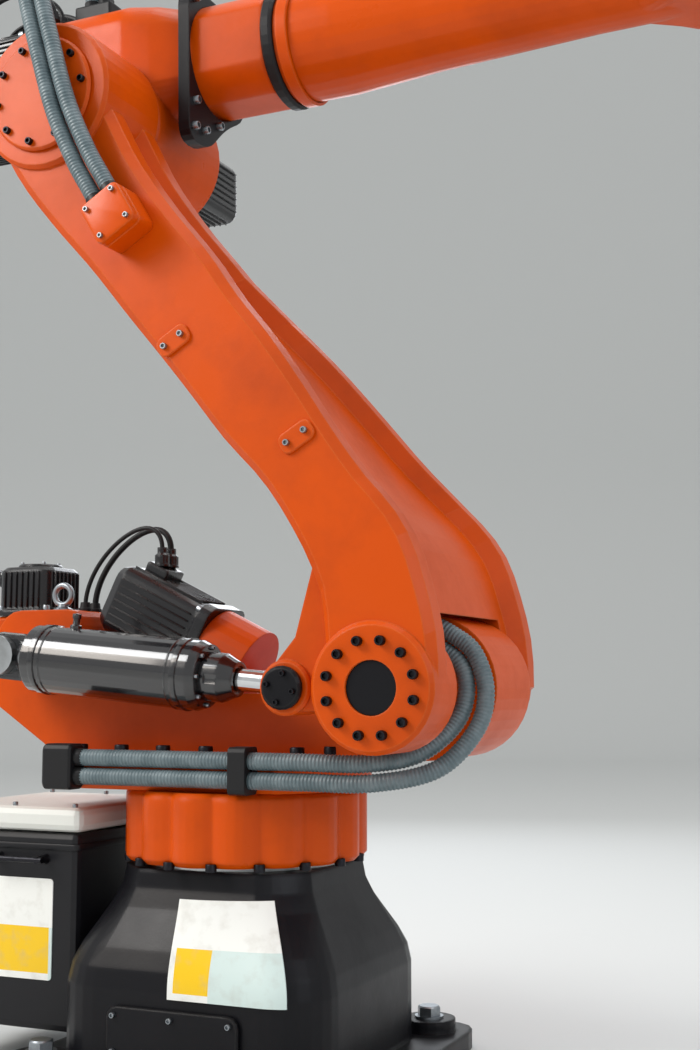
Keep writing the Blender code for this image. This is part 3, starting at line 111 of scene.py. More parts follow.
FLOOR_FRONT, FLOOR_BACK, FLOOR_SIDE = 9.0, 9.0, 14.0
COVE_RADIUS, WALL_HEIGHT = 3.0, 9.0
turns = np.linspace(0.0, math.pi / 2, 17)
along = np.concatenate([[-FLOOR_FRONT], FLOOR_BACK + COVE_RADIUS * np.sin(turns), [FLOOR_BACK + COVE_RADIUS]])
up = np.concatenate([[0.0], COVE_RADIUS * (1 - np.cos(turns)), [WALL_HEIGHT]])
rows = len(along)
# The sweep runs 31.6 degrees round from +Y, within 8 degrees of the line of sight
SWEEP_TURN = math.radians(31.6)
across = np.array([-FLOOR_SIDE, FLOOR_SIDE])
u, v = np.meshgrid(across, np.arange(rows), indexing="ij")
sweep_cos, sweep_sin = math.cos(SWEEP_TURN), math.sin(SWEEP_TURN)
flat = np.stack([u * sweep_cos - along[v] * sweep_sin, u * sweep_sin + along[v] * sweep_cos, up[v]], -1)
quads = [(i, rows + i, rows + i + 1, i + 1) for i in range(rows - 1)]
backdrop = surface("backdrop", flat, quads)
material, tree, shader = new_material("matt_pale_floor")
shader.inputs["Roughness"].default_value = 0.85
shader.inputs["Base Color"].default_value = linear("#D6D8D7")
backdrop.data.materials.append(material)

world = bpy.data.worlds.new("soft_daylight")
world.use_nodes = True
world.node_tree.nodes["Background"].inputs["Color"].default_value = linear("#F3F4F4")
world.node_tree.nodes["Background"].inputs["Strength"].default_value = 0.72
scene.world = world


def lamp(name, place, target, size, watts, tint):
    """A square soft lamp that faces a point."""
    light = bpy.data.lights.new(name, "AREA")
    light.size = size
    light.energy = watts
    light.color = linear(tint)[:3]
    holder = bpy.data.objects.new(name, light)
    holder.location = place
    holder.rotation_euler = (Vector(target) - Vector(place)).to_track_quat("-Z", "Y").to_euler()
    scene.collection.objects.link(holder)
    return holder


lamp("lamp_left", (-3.4, -3.4, 3.6), (0.0, 0.0, 0.9), 2.2, 96, "#FFF6EC")
lamp("lamp_window", (-2.2, -1.9, 3.1), (-0.15, -0.1, 0.7), 1.3, 62, "#FFFFFF")
lamp("lamp_top", (0.6, 0.6, 4.6), (0.1, 0.0, 0.8), 3.0, 60, "#FFFFFF")
lamp("lamp_right", (3.8, -1.6, 2.6), (0.2, 0.0, 0.9), 2.2, 36, "#F0F5FF")

# A window behind the arm puts the bright edges on its tops; the lamp itself stays out of the picture
lamp("lamp_behind", (-1.5, 3.4, 2.3), (-0.1, 0.0, 0.9), 1.8, 30, "#F4F8FF").visible_camera = False

# The camera: at the height of the shoulder, 2.51 m from the column's axis and 27.6 degrees round from -Y.
# It looks 4 degrees to the right of that axis and 6.2 degrees up, through a 50 mm lens.
CAMERA_REACH, CAMERA_TURN, CAMERA_HEIGHT = 2.51, math.radians(27.6), 0.63
CAMERA_YAW, CAMERA_PITCH = math.radians(4.0), math.radians(6.24)
stand = Vector((CAMERA_REACH * math.sin(CAMERA_TURN), -CAMERA_REACH * math.cos(CAMERA_TURN), CAMERA_HEIGHT))
sight = CAMERA_TURN - CAMERA_YAW
level = Vector((-math.sin(sight), math.cos(sight), 0.0))
right = Vector((math.cos(sight), math.sin(sight), 0.0))
upright = Vector((0.0, 0.0, 1.0))
ahead = math.cos(CAMERA_PITCH) * level + math.sin(CAMERA_PITCH) * upright
top = math.cos(CAMERA_PITCH) * upright - math.sin(CAMERA_PITCH) * level
lens = bpy.data.cameras.new("camera")
lens.sensor_fit = "VERTICAL"
lens.sensor_height = 36.0
lens.lens = 49.99
camera = bpy.data.objects.new("camera", lens)
turned = Matrix((right, top, -ahead)).transposed().to_4x4()
turned.translation = stand
camera.matrix_world = turned
scene.collection.objects.link(camera)
scene.camera = camera

# The castings' enamel: orange or black, sprayed over sand-cast iron.
# The base, slew flange, arm, forearm and wrist have rounder edges, without the pale edges of worn paint and painted
# highlight.
WAVES_PER_METRE, PITS_PER_METRE = 5.0, 260.0


def cast_enamel(name, colour, dark, pale, roughness, edge, fillet):
    """Sprayed enamel over sand-cast iron.

    The casting's skin shows through as 4 mm pits and waves 200 mm long. Darker grime lies in patches, faces that look
    up hold pale dust, edges are painted pale by the share called edge, partly worn paint and partly a painted
    highlight along them, and they look as round as the fillet.
    """
    material, tree, shader = new_material(name)
    place = add(tree, "TexCoord").outputs["Object"]
    wavy = {"Vector": place, "Scale": WAVES_PER_METRE, "Detail": 5.0, "Roughness": 0.62}
    waves = add(tree, "TexNoise", wavy).outputs["Fac"]
    pitted = {"Vector": place, "Scale": PITS_PER_METRE, "Detail": 3.0, "Roughness": 0.6}
    grain = add(tree, "TexNoise", pitted).outputs["Fac"]
    grime = add(tree, "MapRange", {"Value": waves, "From Min": 0.45, "From Max": 0.72, "To Max": 0.45}).outputs[0]
    tone = add(tree, "Mix", {0: grime, 6: linear(colour), 7: linear(dark)}, data_type="RGBA").outputs[2]
    rounded = add(tree, "Bevel", {"Radius": fillet}, samples=4).outputs[0]
    facing_up = add(tree, "SeparateXYZ", {0: rounded}).outputs["Z"]
    settled = {"Value": facing_up, "From Min": 0.55, "From Max": 1.0, "To Max": 0.14}
    dust_amount = add(tree, "MapRange", settled).outputs[0]
    dust_patch = add(tree, "Math", {0: dust_amount, 1: waves}, operation="MULTIPLY").outputs[0]
    dusty = add(tree, "Mix", {0: dust_patch, 6: tone, 7: linear(pale)}, data_type="RGBA").outputs[2]
    flat_normal = add(tree, "NewGeometry").outputs["Normal"]
    likeness = add(tree, "VectorMath", {0: rounded, 1: flat_normal}, operation="DOT_PRODUCT").outputs["Value"]
    # Pale edges: partly worn paint, partly a painted highlight along every edge
    pale_share = add(tree, "MapRange", {"Value": likeness, "From Min": 0.985, "From Max": 0.93, "To Max": edge}).outputs[0]
    edge_wear_and_highlight = add(tree, "Math", {0: pale_share, 1: grain}, operation="MULTIPLY").outputs[0]
    final = add(tree, "Mix", {0: edge_wear_and_highlight, 6: dusty, 7: linear(pale)}, data_type="RGBA").outputs[2]
    glossy = {"Value": waves, "From Min": 0.3, "From Max": 0.7, "To Min": roughness - 0.06, "To Max": roughness + 0.12}
    gloss = add(tree, "MapRange", glossy).outputs[0]
    skin = add(tree, "Bump", {"Height": grain, "Strength": 0.22, "Distance": 0.0006, "Normal": rounded}).outputs[0]
    swell = add(tree, "Bump", {"Height": waves, "Strength": 0.25, "Distance": 0.004, "Normal": skin}).outputs[0]
    feed(tree, shader, {"Base Color": final, "Roughness": gloss, "Normal": swell})
    shader.inputs["Specular IOR Level"].default_value = 0.16
    shader.inputs["Coat Weight"].default_value = 0.06
    shader.inputs["Coat Roughness"].default_value = 0.15
    return material


def dress(material, *names):
    """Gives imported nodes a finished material."""
    for name in names:
        nodes[name].data.materials.clear()
        nodes[name].data.materials.append(material)


# The pale colour tints dust on upward faces and paints the edges pale, partly as wear and partly as a painted highlight
orange_enamel = cast_enamel("orange_enamel_on_cast_iron", "#CE4C00", "#9A3400", "#E8874A", 0.34, 0.5, 0.0035)
turned_orange = cast_enamel("orange_enamel_on_turned_iron", "#CE4C00", "#9A3400", "#E8874A", 0.30, 0.0, 0.011)
black_enamel = cast_enamel("black_enamel_on_cast_iron", "#121216", "#08080B", "#5A5752", 0.32, 0.4, 0.0035)
base_enamel = cast_enamel("black_enamel_on_heavy_casting", "#121216", "#08080B", "#4A4844", 0.34, 0.0, 0.011)

# The fittings' shapes: turned and slab forms, stood in their places and joined into one piece on a body.
# Cap screws are named by their thread and shown by their heads.
M5, M6, M8, M10, M12, M16 = 0.005, 0.006, 0.008, 0.010, 0.012, 0.016


def merged(parts):
    """One pair of points and faces from several: each part's face numbers move up by the points before it."""
    points, faces, before = [], [], 0
    for part_points, part_faces in parts:
        points.append(part_points)
        faces.extend([tuple(int(i) + before for i in face) for face in part_faces])
        before += len(part_points)
    return np.concatenate(points), faces


def put(matrix, part):
    """A part's points turned and moved by a matrix."""
    grid = np.array(matrix)
    return part[0] @ grid[:3, :3].T + grid[:3, 3], part[1]


def facing(place, direction):
    """The matrix that stands a part made along +Z on a place, along a direction."""
    return Matrix.Translation(place) @ Vector(direction).to_track_quat("Z", "Y").to_matrix().to_4x4()


def lathe(profile, sides):
    """A surface turned about +Z: each (radius, height) of the profile times (cos t, sin t), closed round."""
    turns = np.arange(sides) * math.tau / sides
    radius = np.stack([np.broadcast_to(np.asarray(r, float), (sides,)) for r, _ in profile])
    height = np.array([[h] for _, h in profile], float)
    points = np.stack([radius * np.cos(turns), radius * np.sin(turns), np.broadcast_to(height, radius.shape)], -1)
    ring, turn = np.meshgrid(np.arange(len(profile) - 1), np.arange(sides), indexing="ij")
    first, after = ring * sides + turn, ring * sides + (turn + 1) % sides
    return points.reshape(-1, 3), np.stack([first, after, after + sides, first + sides], -1).reshape(-1, 4)


def slab(width, depth, corner, levels, steps=4):
    """A rounded rectangle carried up +Z: each (inset, height) level is the outline drawn in by its inset."""
    quarter = np.repeat(np.arange(4), steps + 1)
    turn = (quarter + np.tile(np.arange(steps + 1) / steps, 4)) * math.pi / 2
    sign_x, sign_y = np.array([1, -1, -1, 1])[quarter], np.array([1, 1, -1, -1])[quarter]
    count = len(turn)
    rings = []
    for inset, height in levels:
        x = sign_x * (width / 2 - corner) + (corner - inset) * np.cos(turn)
        y = sign_y * (depth / 2 - corner) + (corner - inset) * np.sin(turn)
        rings.append(np.stack([x, y, np.full(count, height)], -1))
    ring, i = np.meshgrid(np.arange(len(levels) - 1), np.arange(count), indexing="ij")
    first, after = ring * count + i, ring * count + (i + 1) % count
    sides = np.stack([first, after, after + count, first + count], -1).reshape(-1, 4)
    top = np.arange(count) + count * (len(levels) - 1)
    return np.concatenate(rings), [*sides, tuple(range(count))[::-1], tuple(top)]


def piece(name, parts, material, body, slot, smooth_degrees=35.0):
    """One finished piece from several parts: doubles merged, material given, riding on its body."""
    made = surface(name, *merged(parts), smooth_degrees)
    shell = bmesh.new()
    shell.from_mesh(made.data)
    bmesh.ops.remove_doubles(shell, verts=shell.verts, dist=1e-7)
    shell.to_mesh(made.data)
    shell.free()
    made.data.set_sharp_from_angle(angle=math.radians(smooth_degrees))
    made.data.materials.append(material)
    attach(made, body)
    return made


def hexagon(flat):
    """A hexagon's radius at twelve even turns: its corners and the middles of its flats in turn."""
    return np.where(np.arange(12) % 2 == 0, flat / math.cos(math.pi / 6), flat)


def cap_screw(size):
    """A socket cap screw's head, 1.5 sizes wide and one size high, with a hexagon socket half a size deep."""
    socket = hexagon(0.43 * size)
    head = [(0.75 * size, 0.0), (0.75 * size, 0.88 * size), (0.68 * size, size)]
    return lathe(head + [(socket, size), (socket, 0.5 * size), (0.0, 0.5 * size)], 12)


def ring_of(part, count, radius, matrix, start=0.0):
    """A part repeated on a circle: copy k stands at start + k / count of a turn."""
    turns = start + np.arange(count) * math.tau / count
    return [put(matrix @ Matrix.Translation((radius * math.cos(t), radius * math.sin(t), 0.0)), part) for t in turns]


# Screws and washers are steel under a thin, cloudy coat: blue-grey zinc on most, and black oxide on the column's
# and the hubs', on the box's handles and the flange's pin. The clouds are 6 mm across.
CLOUD = 0.006


def plated(name, colour, dark, roughness):
    """Metal with a cloudy coat: the noise's scale is one over the cloud's size in metres."""
    material, tree, shader = new_material(name)
    place = add(tree, "TexCoord").outputs["Object"]
    cloudy = add(tree, "TexNoise", {"Vector": place, "Scale": 1.0 / CLOUD, "Detail": 3.0}).outputs["Fac"]
    tone = add(tree, "Mix", {0: cloudy, 6: linear(colour), 7: linear(dark)}, data_type="RGBA").outputs[2]
    gloss = add(tree, "MapRange", {"Value": cloudy, "To Min": roughness - 0.08, "To Max": roughness + 0.10}).outputs[0]
    feed(tree, shader, {"Base Color": tone, "Roughness": gloss})
    shader.inputs["Metallic"].default_value = 1.0
    return material


zinc_plate = plated("zinc_plated_steel", "#A9AEB2", "#7F868C", 0.36)
black_oxide = plated("black_oxide_steel", "#3A3A3E", "#1C1C20", 0.42)

# The base: a grey iron casting under black enamel, bolted to the ground by a hexagon bolt in each corner pad.
# Its foot, pads and ribs are one casting. The pads' bolts are M24 with thick washers.
dress(base_enamel, "base_frame")
PAD_REACH, PAD_TOP, ANCHOR = 0.238, 0.052, 0.024
WASHER_THICK, HEAD_EDGE, HEAD_TOP = 0.004, 0.018, 0.0205
hexagon_head = hexagon(0.75 * ANCHOR)
washer = lathe([(0.0, 0.0), (1.05 * ANCHOR, 0.0), (1.05 * ANCHOR, WASHER_THICK), (0.0, WASHER_THICK)], 24)
bolt_head = lathe([(hexagon_head, WASHER_THICK), (hexagon_head, HEAD_EDGE), (0.70 * ANCHOR, HEAD_TOP),
                   (0.0, HEAD_TOP)], 12)
anchors = [
    put(Matrix.Translation((x * PAD_REACH, y * PAD_REACH, PAD_TOP)), part)
    for x in (-1, 1) for y in (-1, 1) for part in (washer, bolt_head)
]
piece("anchor_bolts", anchors, zinc_plate, "base", "bright_steel")

# Two covers close the cable openings in the base's sides: pressed sheet steel under the castings' black enamel.
# Each is held by six M6 cap screws.
dress(black_enamel, "side_cover_near", "side_cover_far")
COVER_INSET_X, COVER_INSET_Z = 0.014, 0.013
cover_screws = []
for node, side in (("side_cover_near", -1), ("side_cover_far", 1)):
    low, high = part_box(node)
    face_y = low.y if side < 0 else high.y
    for x in (low.x + COVER_INSET_X, 0.0, high.x - COVER_INSET_X):
        for z in (low.z + COVER_INSET_Z, high.z - COVER_INSET_Z):
            cover_screws.append(put(facing((x, face_y, z), (0, side, 0)), cap_screw(M6)))
piece("side_cover_screws", cover_screws, zinc_plate, "base", "bright_steel")

# Two blank plates of white enamelled aluminium: one bent round the base's shoulder, one on the junction box.
# Each has a plain yellow field and a pale green one, printed, with nothing written on them.
PLATE_THICK, PLATE_PROUD = 0.0016, 0.0032
FIELD_TOP, FIELD_FOOT, FIELD_EDGE = 0.52, 0.07, 0.05


def blank_plate_finish(name, low, high, level_low, level_high, field_share):
    """White enamel with two plain printed fields, between bounds in metres.

    The yellow field takes a share of the length, and its top, foot and edge stand at shares of the plate's size.
    The pale green field takes the rest of the lower part.
    """
    material, tree, shader = new_material(name)
    place = add(tree, "TexCoord").outputs["Object"]
    parts = add(tree, "SeparateXYZ", {0: place})
    across = add(tree, "MapRange", {"Value": parts.outputs["X"], "From Min": low, "From Max": high}).outputs[0]
    levels = {"Value": parts.outputs["Z"], "From Min": level_low, "From Max": level_high}
    height = add(tree, "MapRange", levels).outputs[0]
    left = add(tree, "Math", {0: across, 1: field_share}, operation="LESS_THAN").outputs[0]
    lower = add(tree, "Math", {0: height, 1: FIELD_TOP}, operation="LESS_THAN").outputs[0]
    above_foot = add(tree, "Math", {0: height, 1: FIELD_FOOT}, operation="GREATER_THAN").outputs[0]
    past_edge = add(tree, "Math", {0: across, 1: FIELD_EDGE}, operation="GREATER_THAN").outputs[0]
    field = left
    for bound in (lower, above_foot, past_edge):
        field = add(tree, "Math", {0: field, 1: bound}, operation="MULTIPLY").outputs[0]
    right_low = add(tree, "Math", {0: lower, 1: left}, operation="GREATER_THAN").outputs[0]
    pale = add(tree, "Mix", {0: right_low, 6: linear("#EDEEE9"), 7: linear("#CFE0DC")}, data_type="RGBA").outputs[2]
    tone = add(tree, "Mix", {0: field, 6: pale, 7: linear("#F2C400")}, data_type="RGBA").outputs[2]
    smudge = add(tree, "TexNoise", {"Vector": place, "Scale": 40.0, "Detail": 4.0}).outputs["Fac"]
    soiled = add(tree, "MapRange", {"Value": smudge, "From Min": 0.5, "From Max": 0.8, "To Max": 0.35}).outputs[0]
    final = add(tree, "Mix", {0: soiled, 6: tone, 7: linear("#A9A396")}, data_type="RGBA").outputs[2]
    tree.links.new(final, shader.inputs["Base Color"])
    shader.inputs["Roughness"].default_value = 0.3
    return material


def base_wall(along, z, proud):
    """A point on the base's near wall, a length along from its middle.

    The wall is a rounded square's side and corner, drawn in to a circle by an eased share of its height.
    """
    half, corner, straight, top_z, top_radius = 0.235 + proud, 0.090, 0.160, 0.336, 0.198 + proud
    turn = np.clip(along - (half - corner), 0.0, None) / corner
    x = np.minimum(along, half - corner) + corner * np.sin(turn)
    y = -(half - corner) - corner * np.cos(turn)
    share = np.clip((z - straight) / (top_z - straight), 0.0, 1.0)
    eased = share * share * (3 - 2 * share)
    scale = 1 - eased + eased * top_radius / np.hypot(x, y)
    return np.stack([x * scale, y * scale, z], -1)


def wall_plate(low_x, high_x, low_z, high_z, columns=24, rows=20):
    """A thin shell over the base's wall: a grid on its surface, the same grid set back, and a rim between them."""
    x, z = np.meshgrid(np.linspace(low_x, high_x, columns), np.linspace(low_z, high_z, rows))
    front, back = (base_wall(x, z, proud).reshape(-1, 3) for proud in (PLATE_PROUD, PLATE_PROUD - PLATE_THICK))
    i, j = np.meshgrid(np.arange(columns - 1), np.arange(rows - 1))
    first = (j * columns + i).ravel()
    faces = [*np.stack([first, first + 1, first + columns + 1, first + columns], -1)]
    count = len(front)
    faces += [*np.stack([first + columns, first + columns + 1, first + 1, first], -1) + count]
    top = (rows - 1) * columns
    rim = list(range(columns)) + list(range(2 * columns - 1, count, columns))
    rim += list(range(count - 2, top - 1, -1)) + list(range(top - columns, 0, -columns))
    faces += [(here, here + count, after + count, after) for here, after in zip(rim, rim[1:] + rim[:1])]
    return np.concatenate([front, back]), faces


# The base's plate follows the corner and the taper; its print is laid out up to x = 0.186
BASE_PLATE_X, BASE_PLATE_Z = (-0.010, 0.190), (0.152, 0.298)
base_print = blank_plate_finish("printed_white_enamel_base", BASE_PLATE_X[0], 0.186, *BASE_PLATE_Z, 0.36)
piece("blank_plate_base", [wall_plate(*BASE_PLATE_X, *BASE_PLATE_Z)], base_print, "base", "pale_lid")
BOX_MIDDLE_X, BOX_NEAR_Y = -0.345, -0.150
box_plate = slab(0.125, 0.165, 0.006, [(0.0, 0.0), (0.0, 0.0012), (0.0005, PLATE_THICK)])
on_box = Matrix.Translation((BOX_MIDDLE_X, BOX_NEAR_Y, 0.225)) @ Matrix.Rotation(math.pi / 2, 4, "X")
box_print = blank_plate_finish("printed_white_enamel_box", -0.4075, -0.2825, 0.142, 0.308, 0.95)
piece("blank_plate_box", [put(on_box, box_plate)], box_print, "base", "pale_lid")

# The slewing bearing: a ground steel ring that shows as a bright line between the base and the column.
# Grinding leaves fine rings, 0.4 mm apart, drawn here 2 mm apart so that they show.
LONG_GRAIN, STAINS_PER_METRE = 8.0, 22.0


def ground_steel(name, colour, roughness, axis, pitch):
    """Turned or ground steel: noise 125 mm long round the axis and one pitch along it, under 45 mm stains."""
    material, tree, shader = new_material(name)
    place = add(tree, "TexCoord").outputs["Object"]
    stretch = [1.0 / pitch if letter == axis else LONG_GRAIN for letter in "XYZ"]
    drawn = add(tree, "Mapping", {"Vector": place, "Scale": stretch}).outputs[0]
    lines = add(tree, "TexNoise", {"Vector": drawn, "Scale": 1.0, "Detail": 2.0}).outputs["Fac"]
    stain = add(tree, "TexNoise", {"Vector": place, "Scale": STAINS_PER_METRE, "Detail": 4.0}).outputs["Fac"]
    film = add(tree, "MapRange", {"Value": stain, "From Min": 0.45, "From Max": 0.75, "To Max": 0.5}).outputs[0]
    tone = add(tree, "Mix", {0: film, 6: linear(colour), 7: linear("#5E5A52")}, data_type="RGBA").outputs[2]
    gloss = add(tree, "MapRange", {"Value": lines, "To Min": roughness - 0.07, "To Max": roughness + 0.09}).outputs[0]
    fine = add(tree, "Bump", {"Height": lines, "Strength": 0.12, "Distance": 0.0003}).outputs[0]
    feed(tree, shader, {"Base Color": tone, "Roughness": gloss, "Normal": fine})
    shader.inputs["Metallic"].default_value = 1.0
    return material


dress(ground_steel("ground_bearing_steel", "#B9BCBD", 0.28, "Z", 0.002), "slewing_bearing")

# The junction box: folded sheet steel under black textured powder coat, with a pale lid that overhangs it.
# The lid is pressed steel under satin enamel, held by six M6 screws along its edges.
def powder_coat(name, colour, pale, grit, roughness, dusting, fillet=0.0022):
    """Textured powder coat: orange peel at the grit's size in metres, and a film of dust on faces that look up."""
    material, tree, shader = new_material(name)
    place = add(tree, "TexCoord").outputs["Object"]
    peel = add(tree, "TexNoise", {"Vector": place, "Scale": 1.0 / grit, "Detail": 2.0}).outputs["Fac"]
    patch = add(tree, "TexNoise", {"Vector": place, "Scale": 9.0, "Detail": 5.0, "Roughness": 0.6}).outputs["Fac"]
    rounded = add(tree, "Bevel", {"Radius": fillet}, samples=4).outputs[0]
    facing_up = add(tree, "SeparateXYZ", {0: rounded}).outputs["Z"]
    upward = {"Value": facing_up, "From Min": 0.5, "From Max": 1.0, "To Max": dusting}
    settled = add(tree, "MapRange", upward).outputs[0]
    dust = add(tree, "Math", {0: settled, 1: patch}, operation="MULTIPLY").outputs[0]
    tone = add(tree, "Mix", {0: dust, 6: linear(colour), 7: linear(pale)}, data_type="RGBA").outputs[2]
    gloss = add(tree, "MapRange", {"Value": patch, "To Min": roughness - 0.08, "To Max": roughness + 0.12}).outputs[0]
    rough_skin = add(tree, "Bump", {"Height": peel, "Strength": 0.18, "Distance": 0.0004, "Normal": rounded}).outputs[0]
    feed(tree, shader, {"Base Color": tone, "Roughness": gloss, "Normal": rough_skin})
    shader.inputs["Specular IOR Level"].default_value = 0.30
    return material


black_powder = powder_coat("black_powder_coat_on_sheet_steel", "#131317", "#5E5C56", 0.0012, 0.42, 0.3)
pale_enamel = powder_coat("pale_satin_enamel_on_sheet_steel", "#DCDDD7", "#BDB9AE", 0.0015, 0.36, 0.3)
dress(black_powder, "junction_box")
dress(pale_enamel, "junction_lid")
LID_INSET_X, LID_INSET_Y = 0.022, 0.018
low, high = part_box("junction_lid")
lid_screws = [
    put(Matrix.Translation((x, y, high.z)), cap_screw(M6))
    for x in (low.x + LID_INSET_X, (low.x + high.x) / 2, high.x - LID_INSET_X)
    for y in (low.y + LID_INSET_Y, high.y - LID_INSET_Y)
]
piece("lid_screws", lid_screws, zinc_plate, "base", "bright_steel")
SEAM_PROUD, SEAM_HIGH, SEAM_BELOW = 0.002, 0.010, 0.030
low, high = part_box("junction_box")
seam = slab(high.x - low.x + 2 * SEAM_PROUD, high.y - low.y + 2 * SEAM_PROUD, 0.010,
            [(0.0, 0.0), (-0.001, 0.002), (-0.001, 0.008), (0.0, SEAM_HIGH)])
seam_at = Matrix.Translation(((low.x + high.x) / 2, (low.y + high.y) / 2, high.z - SEAM_BELOW))
piece("box_seam", [put(seam_at, seam)], black_powder, "base", "black_casting")
HANDLE_LONG, HANDLE_STAND, HANDLE_HEIGHT, HANDLE_FEET = 0.110, 0.024, 0.340, (-0.046, 0.046)
handle_bar = lathe([(0.0, 0.0), (0.005, 0.0), (0.005, HANDLE_LONG), (0.0, HANDLE_LONG)], 12)
handle_foot = lathe([(0.0, 0.0), (0.009, 0.0), (0.007, 0.004), (0.0055, 0.028), (0.0, 0.028)], 14)
handles = []
for side in (-1, 1):
    face_y = BOX_NEAR_Y * -side
    bar_start = (BOX_MIDDLE_X - HANDLE_LONG / 2, face_y + side * HANDLE_STAND, HANDLE_HEIGHT)
    handles.append(put(facing(bar_start, (1, 0, 0)), handle_bar))
    feet = [(BOX_MIDDLE_X + x, face_y, HANDLE_HEIGHT) for x in HANDLE_FEET]
    handles += [put(facing(foot, (0, side, 0)), handle_foot) for foot in feet]
piece("box_handles", handles, black_oxide, "base", "black_casting")

# The connector panel behind the box: a moulded plate with six round sockets in two columns.
# Each socket has a ribbed coupling ring and a blank cap, in glass-filled nylon.
nylon = powder_coat("glass_filled_nylon", "#141416", "#4C4B48", 0.0008, 0.48, 0.3)
dress(nylon, "connector_panel", "hose_clamp", "hose_inlet", "hose_gland_lower", "hose_gland_arm",
      "forearm_seal_ring")
SOCKET_Y, SOCKET_Z, SOCKET_PITCH, SOCKET_RADIUS = 0.049, 0.2225, 0.082, 0.0245
ridged = 0.0262 + 0.0012 * (np.arange(48) % 2)
coupling = lathe([(SOCKET_RADIUS, 0.0), (ridged, 0.001), (ridged, 0.015), (SOCKET_RADIUS, 0.016)], 48)
blank = lathe([(SOCKET_RADIUS, 0.0), (SOCKET_RADIUS, 0.003), (0.021, 0.006), (0.0, 0.007)], 32)
low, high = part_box("connector_panel")
sockets = []
for row in (-1, 0, 1):
    for side in (-1, 1):
        for sunk, part in ((0.022, coupling), (0.001, blank)):
            centre = (low.x + sunk, side * SOCKET_Y, SOCKET_Z + row * SOCKET_PITCH)
            sockets.append(put(facing(centre, (-1, 0, 0)), part))
piece("socket_rings", sockets, nylon, "base", "black_plastic")
PANEL_FACE, PANEL_INSET = low.x + 0.034, 0.012
panel_screws = [
    put(facing((PANEL_FACE, y, z), (-1, 0, 0)), cap_screw(M5))
    for y in (low.y + PANEL_INSET, 0.0, high.y - PANEL_INSET) for z in (low.z + PANEL_INSET, high.z - PANEL_INSET)
]
piece("panel_screws", panel_screws, zinc_plate, "base", "bright_steel")

# The column: a slewing ring with scalloped lobes and the casting bolted on it, iron under orange enamel.
# Sixteen M12 screws go through the ring between its lobes; eight M16 screws hold the casting's floor.
dress(orange_enamel, "column_casting")
dress(turned_orange, "slew_flange")
RING_RADIUS, RING_SUNK, FLOOR_TOP = 0.1935, 0.0045, 0.5143
ring_low = Matrix.Translation((0.0, 0.0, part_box("slew_flange")[0].z - RING_SUNK))
column_screws = ring_of(cap_screw(M12), 16, RING_RADIUS, ring_low, math.pi / 16)
floor_places = [(x, -0.125) for x in (-0.25, -0.17, -0.09, -0.01, 0.07)]
floor_places += [(0.145, -0.105), (0.182, -0.055), (0.150, 0.100)]
column_screws += [put(Matrix.Translation((x, y, FLOOR_TOP)), cap_screw(M16)) for x, y in floor_places]
piece("column_screws", column_screws, black_oxide, "column", "black_casting")


def torus(radius, thick, height, turns=28, sides=12):
    """An upright ring: (radius + thick cos s) times (cos t, sin t) in X and Z, and thick times sin s in Y."""
    i, j = np.meshgrid(np.arange(turns), np.arange(sides), indexing="ij")
    around, across = i * math.tau / turns, j * math.tau / sides
    reach = radius + thick * np.cos(across)
    points = np.stack([reach * np.cos(around), thick * np.sin(across), height + reach * np.sin(around)], -1)
    after_i, after_j = (i + 1) % turns * sides, (j + 1) % sides
    faces = np.stack([i * sides + j, i * sides + after_j, after_i + after_j, after_i + j], -1)
    return points.reshape(-1, 3), faces.reshape(-1, 4)


collar = lathe([(0.0, 0.0), (0.016, 0.0), (0.018, 0.002), (0.018, 0.006), (0.010, 0.010), (0.009, 0.016),
                (0.0, 0.016)], 24)
eye_bolt = merged([collar, torus(0.018, 0.0055, 0.032)])
column_eye = put(Matrix.Translation((-0.400, 0.030, 0.762)), eye_bolt)
piece("column_lifting_eye", [column_eye], zinc_plate, "column", "bright_steel")

# The motors: die-cast aluminium under black enamel, with cooling ribs along all four sides, a screwed end cap,
# and two round connectors on the plug box. One set of trim is worked out for each motor's own size.
motor_enamel = powder_coat("black_enamel_on_cast_aluminium", "#101014", "#54524D", 0.0009, 0.25, 0.4, 0.007)
motor_shader = motor_enamel.node_tree.nodes["Principled BSDF"]
motor_shader.inputs["Coat Weight"].default_value = 0.5
motor_shader.inputs["Coat Roughness"].default_value = 0.10
connector_grip = 0.0125 + 0.0008 * (np.arange(32) % 2)
connector = lathe([(0.0, 0.0), (0.014, 0.0), (0.014, 0.004), (connector_grip, 0.005), (connector_grip, 0.020),
                   (0.009, 0.024), (0.009, 0.034), (0.0, 0.034)], 32)
CONNECTOR_LEAN = Vector((0.5, 0.0, 1.0))


def plug(side, length, row):
    """Where a connector stands on a motor's plug box, in the row at -1 or 1, a little sunk."""
    start = 0.62 * length
    end = min(start + 0.34 * side, 0.92 * length)
    return Vector(((start + end) / 2, row * 0.11 * side, side / 2 + 0.11 * side - 0.001))


def motor_trim(side, length):
    """Ribs on the four sides, end cap and connectors for a motor along +X from the origin."""
    wall, start, end, plug_start = 0.46 * side, 0.17 * length, 0.90 * length, 0.60 * length
    parts = []
    for quarter in range(4):
        turn = Matrix.Rotation(quarter * math.pi / 2, 4, "X")
        for place in np.linspace(-0.30, 0.30, 7) * side:
            # Ribs that would run under the plug box end before it
            last = plug_start if quarter == 0 and abs(place) < 0.24 * side else end
            rib = slab(last - start, 0.0026, 0.0012, [(0.0, -0.004), (0.0, 0.0032), (0.0008, 0.0040)], 2)
            parts.append(put(turn @ Matrix.Translation(((start + last) / 2, place, wall)), rib))
    cap = lathe([(0.0, -0.004), (0.33 * side, -0.004), (0.33 * side, 0.004), (0.31 * side, 0.007), (0.0, 0.007)], 40)
    parts.append(put(facing((length, 0.0, 0.0), (1, 0, 0)), cap))
    return parts + [put(facing(plug(side, length, row), CONNECTOR_LEAN), connector) for row in (-1, 1)]


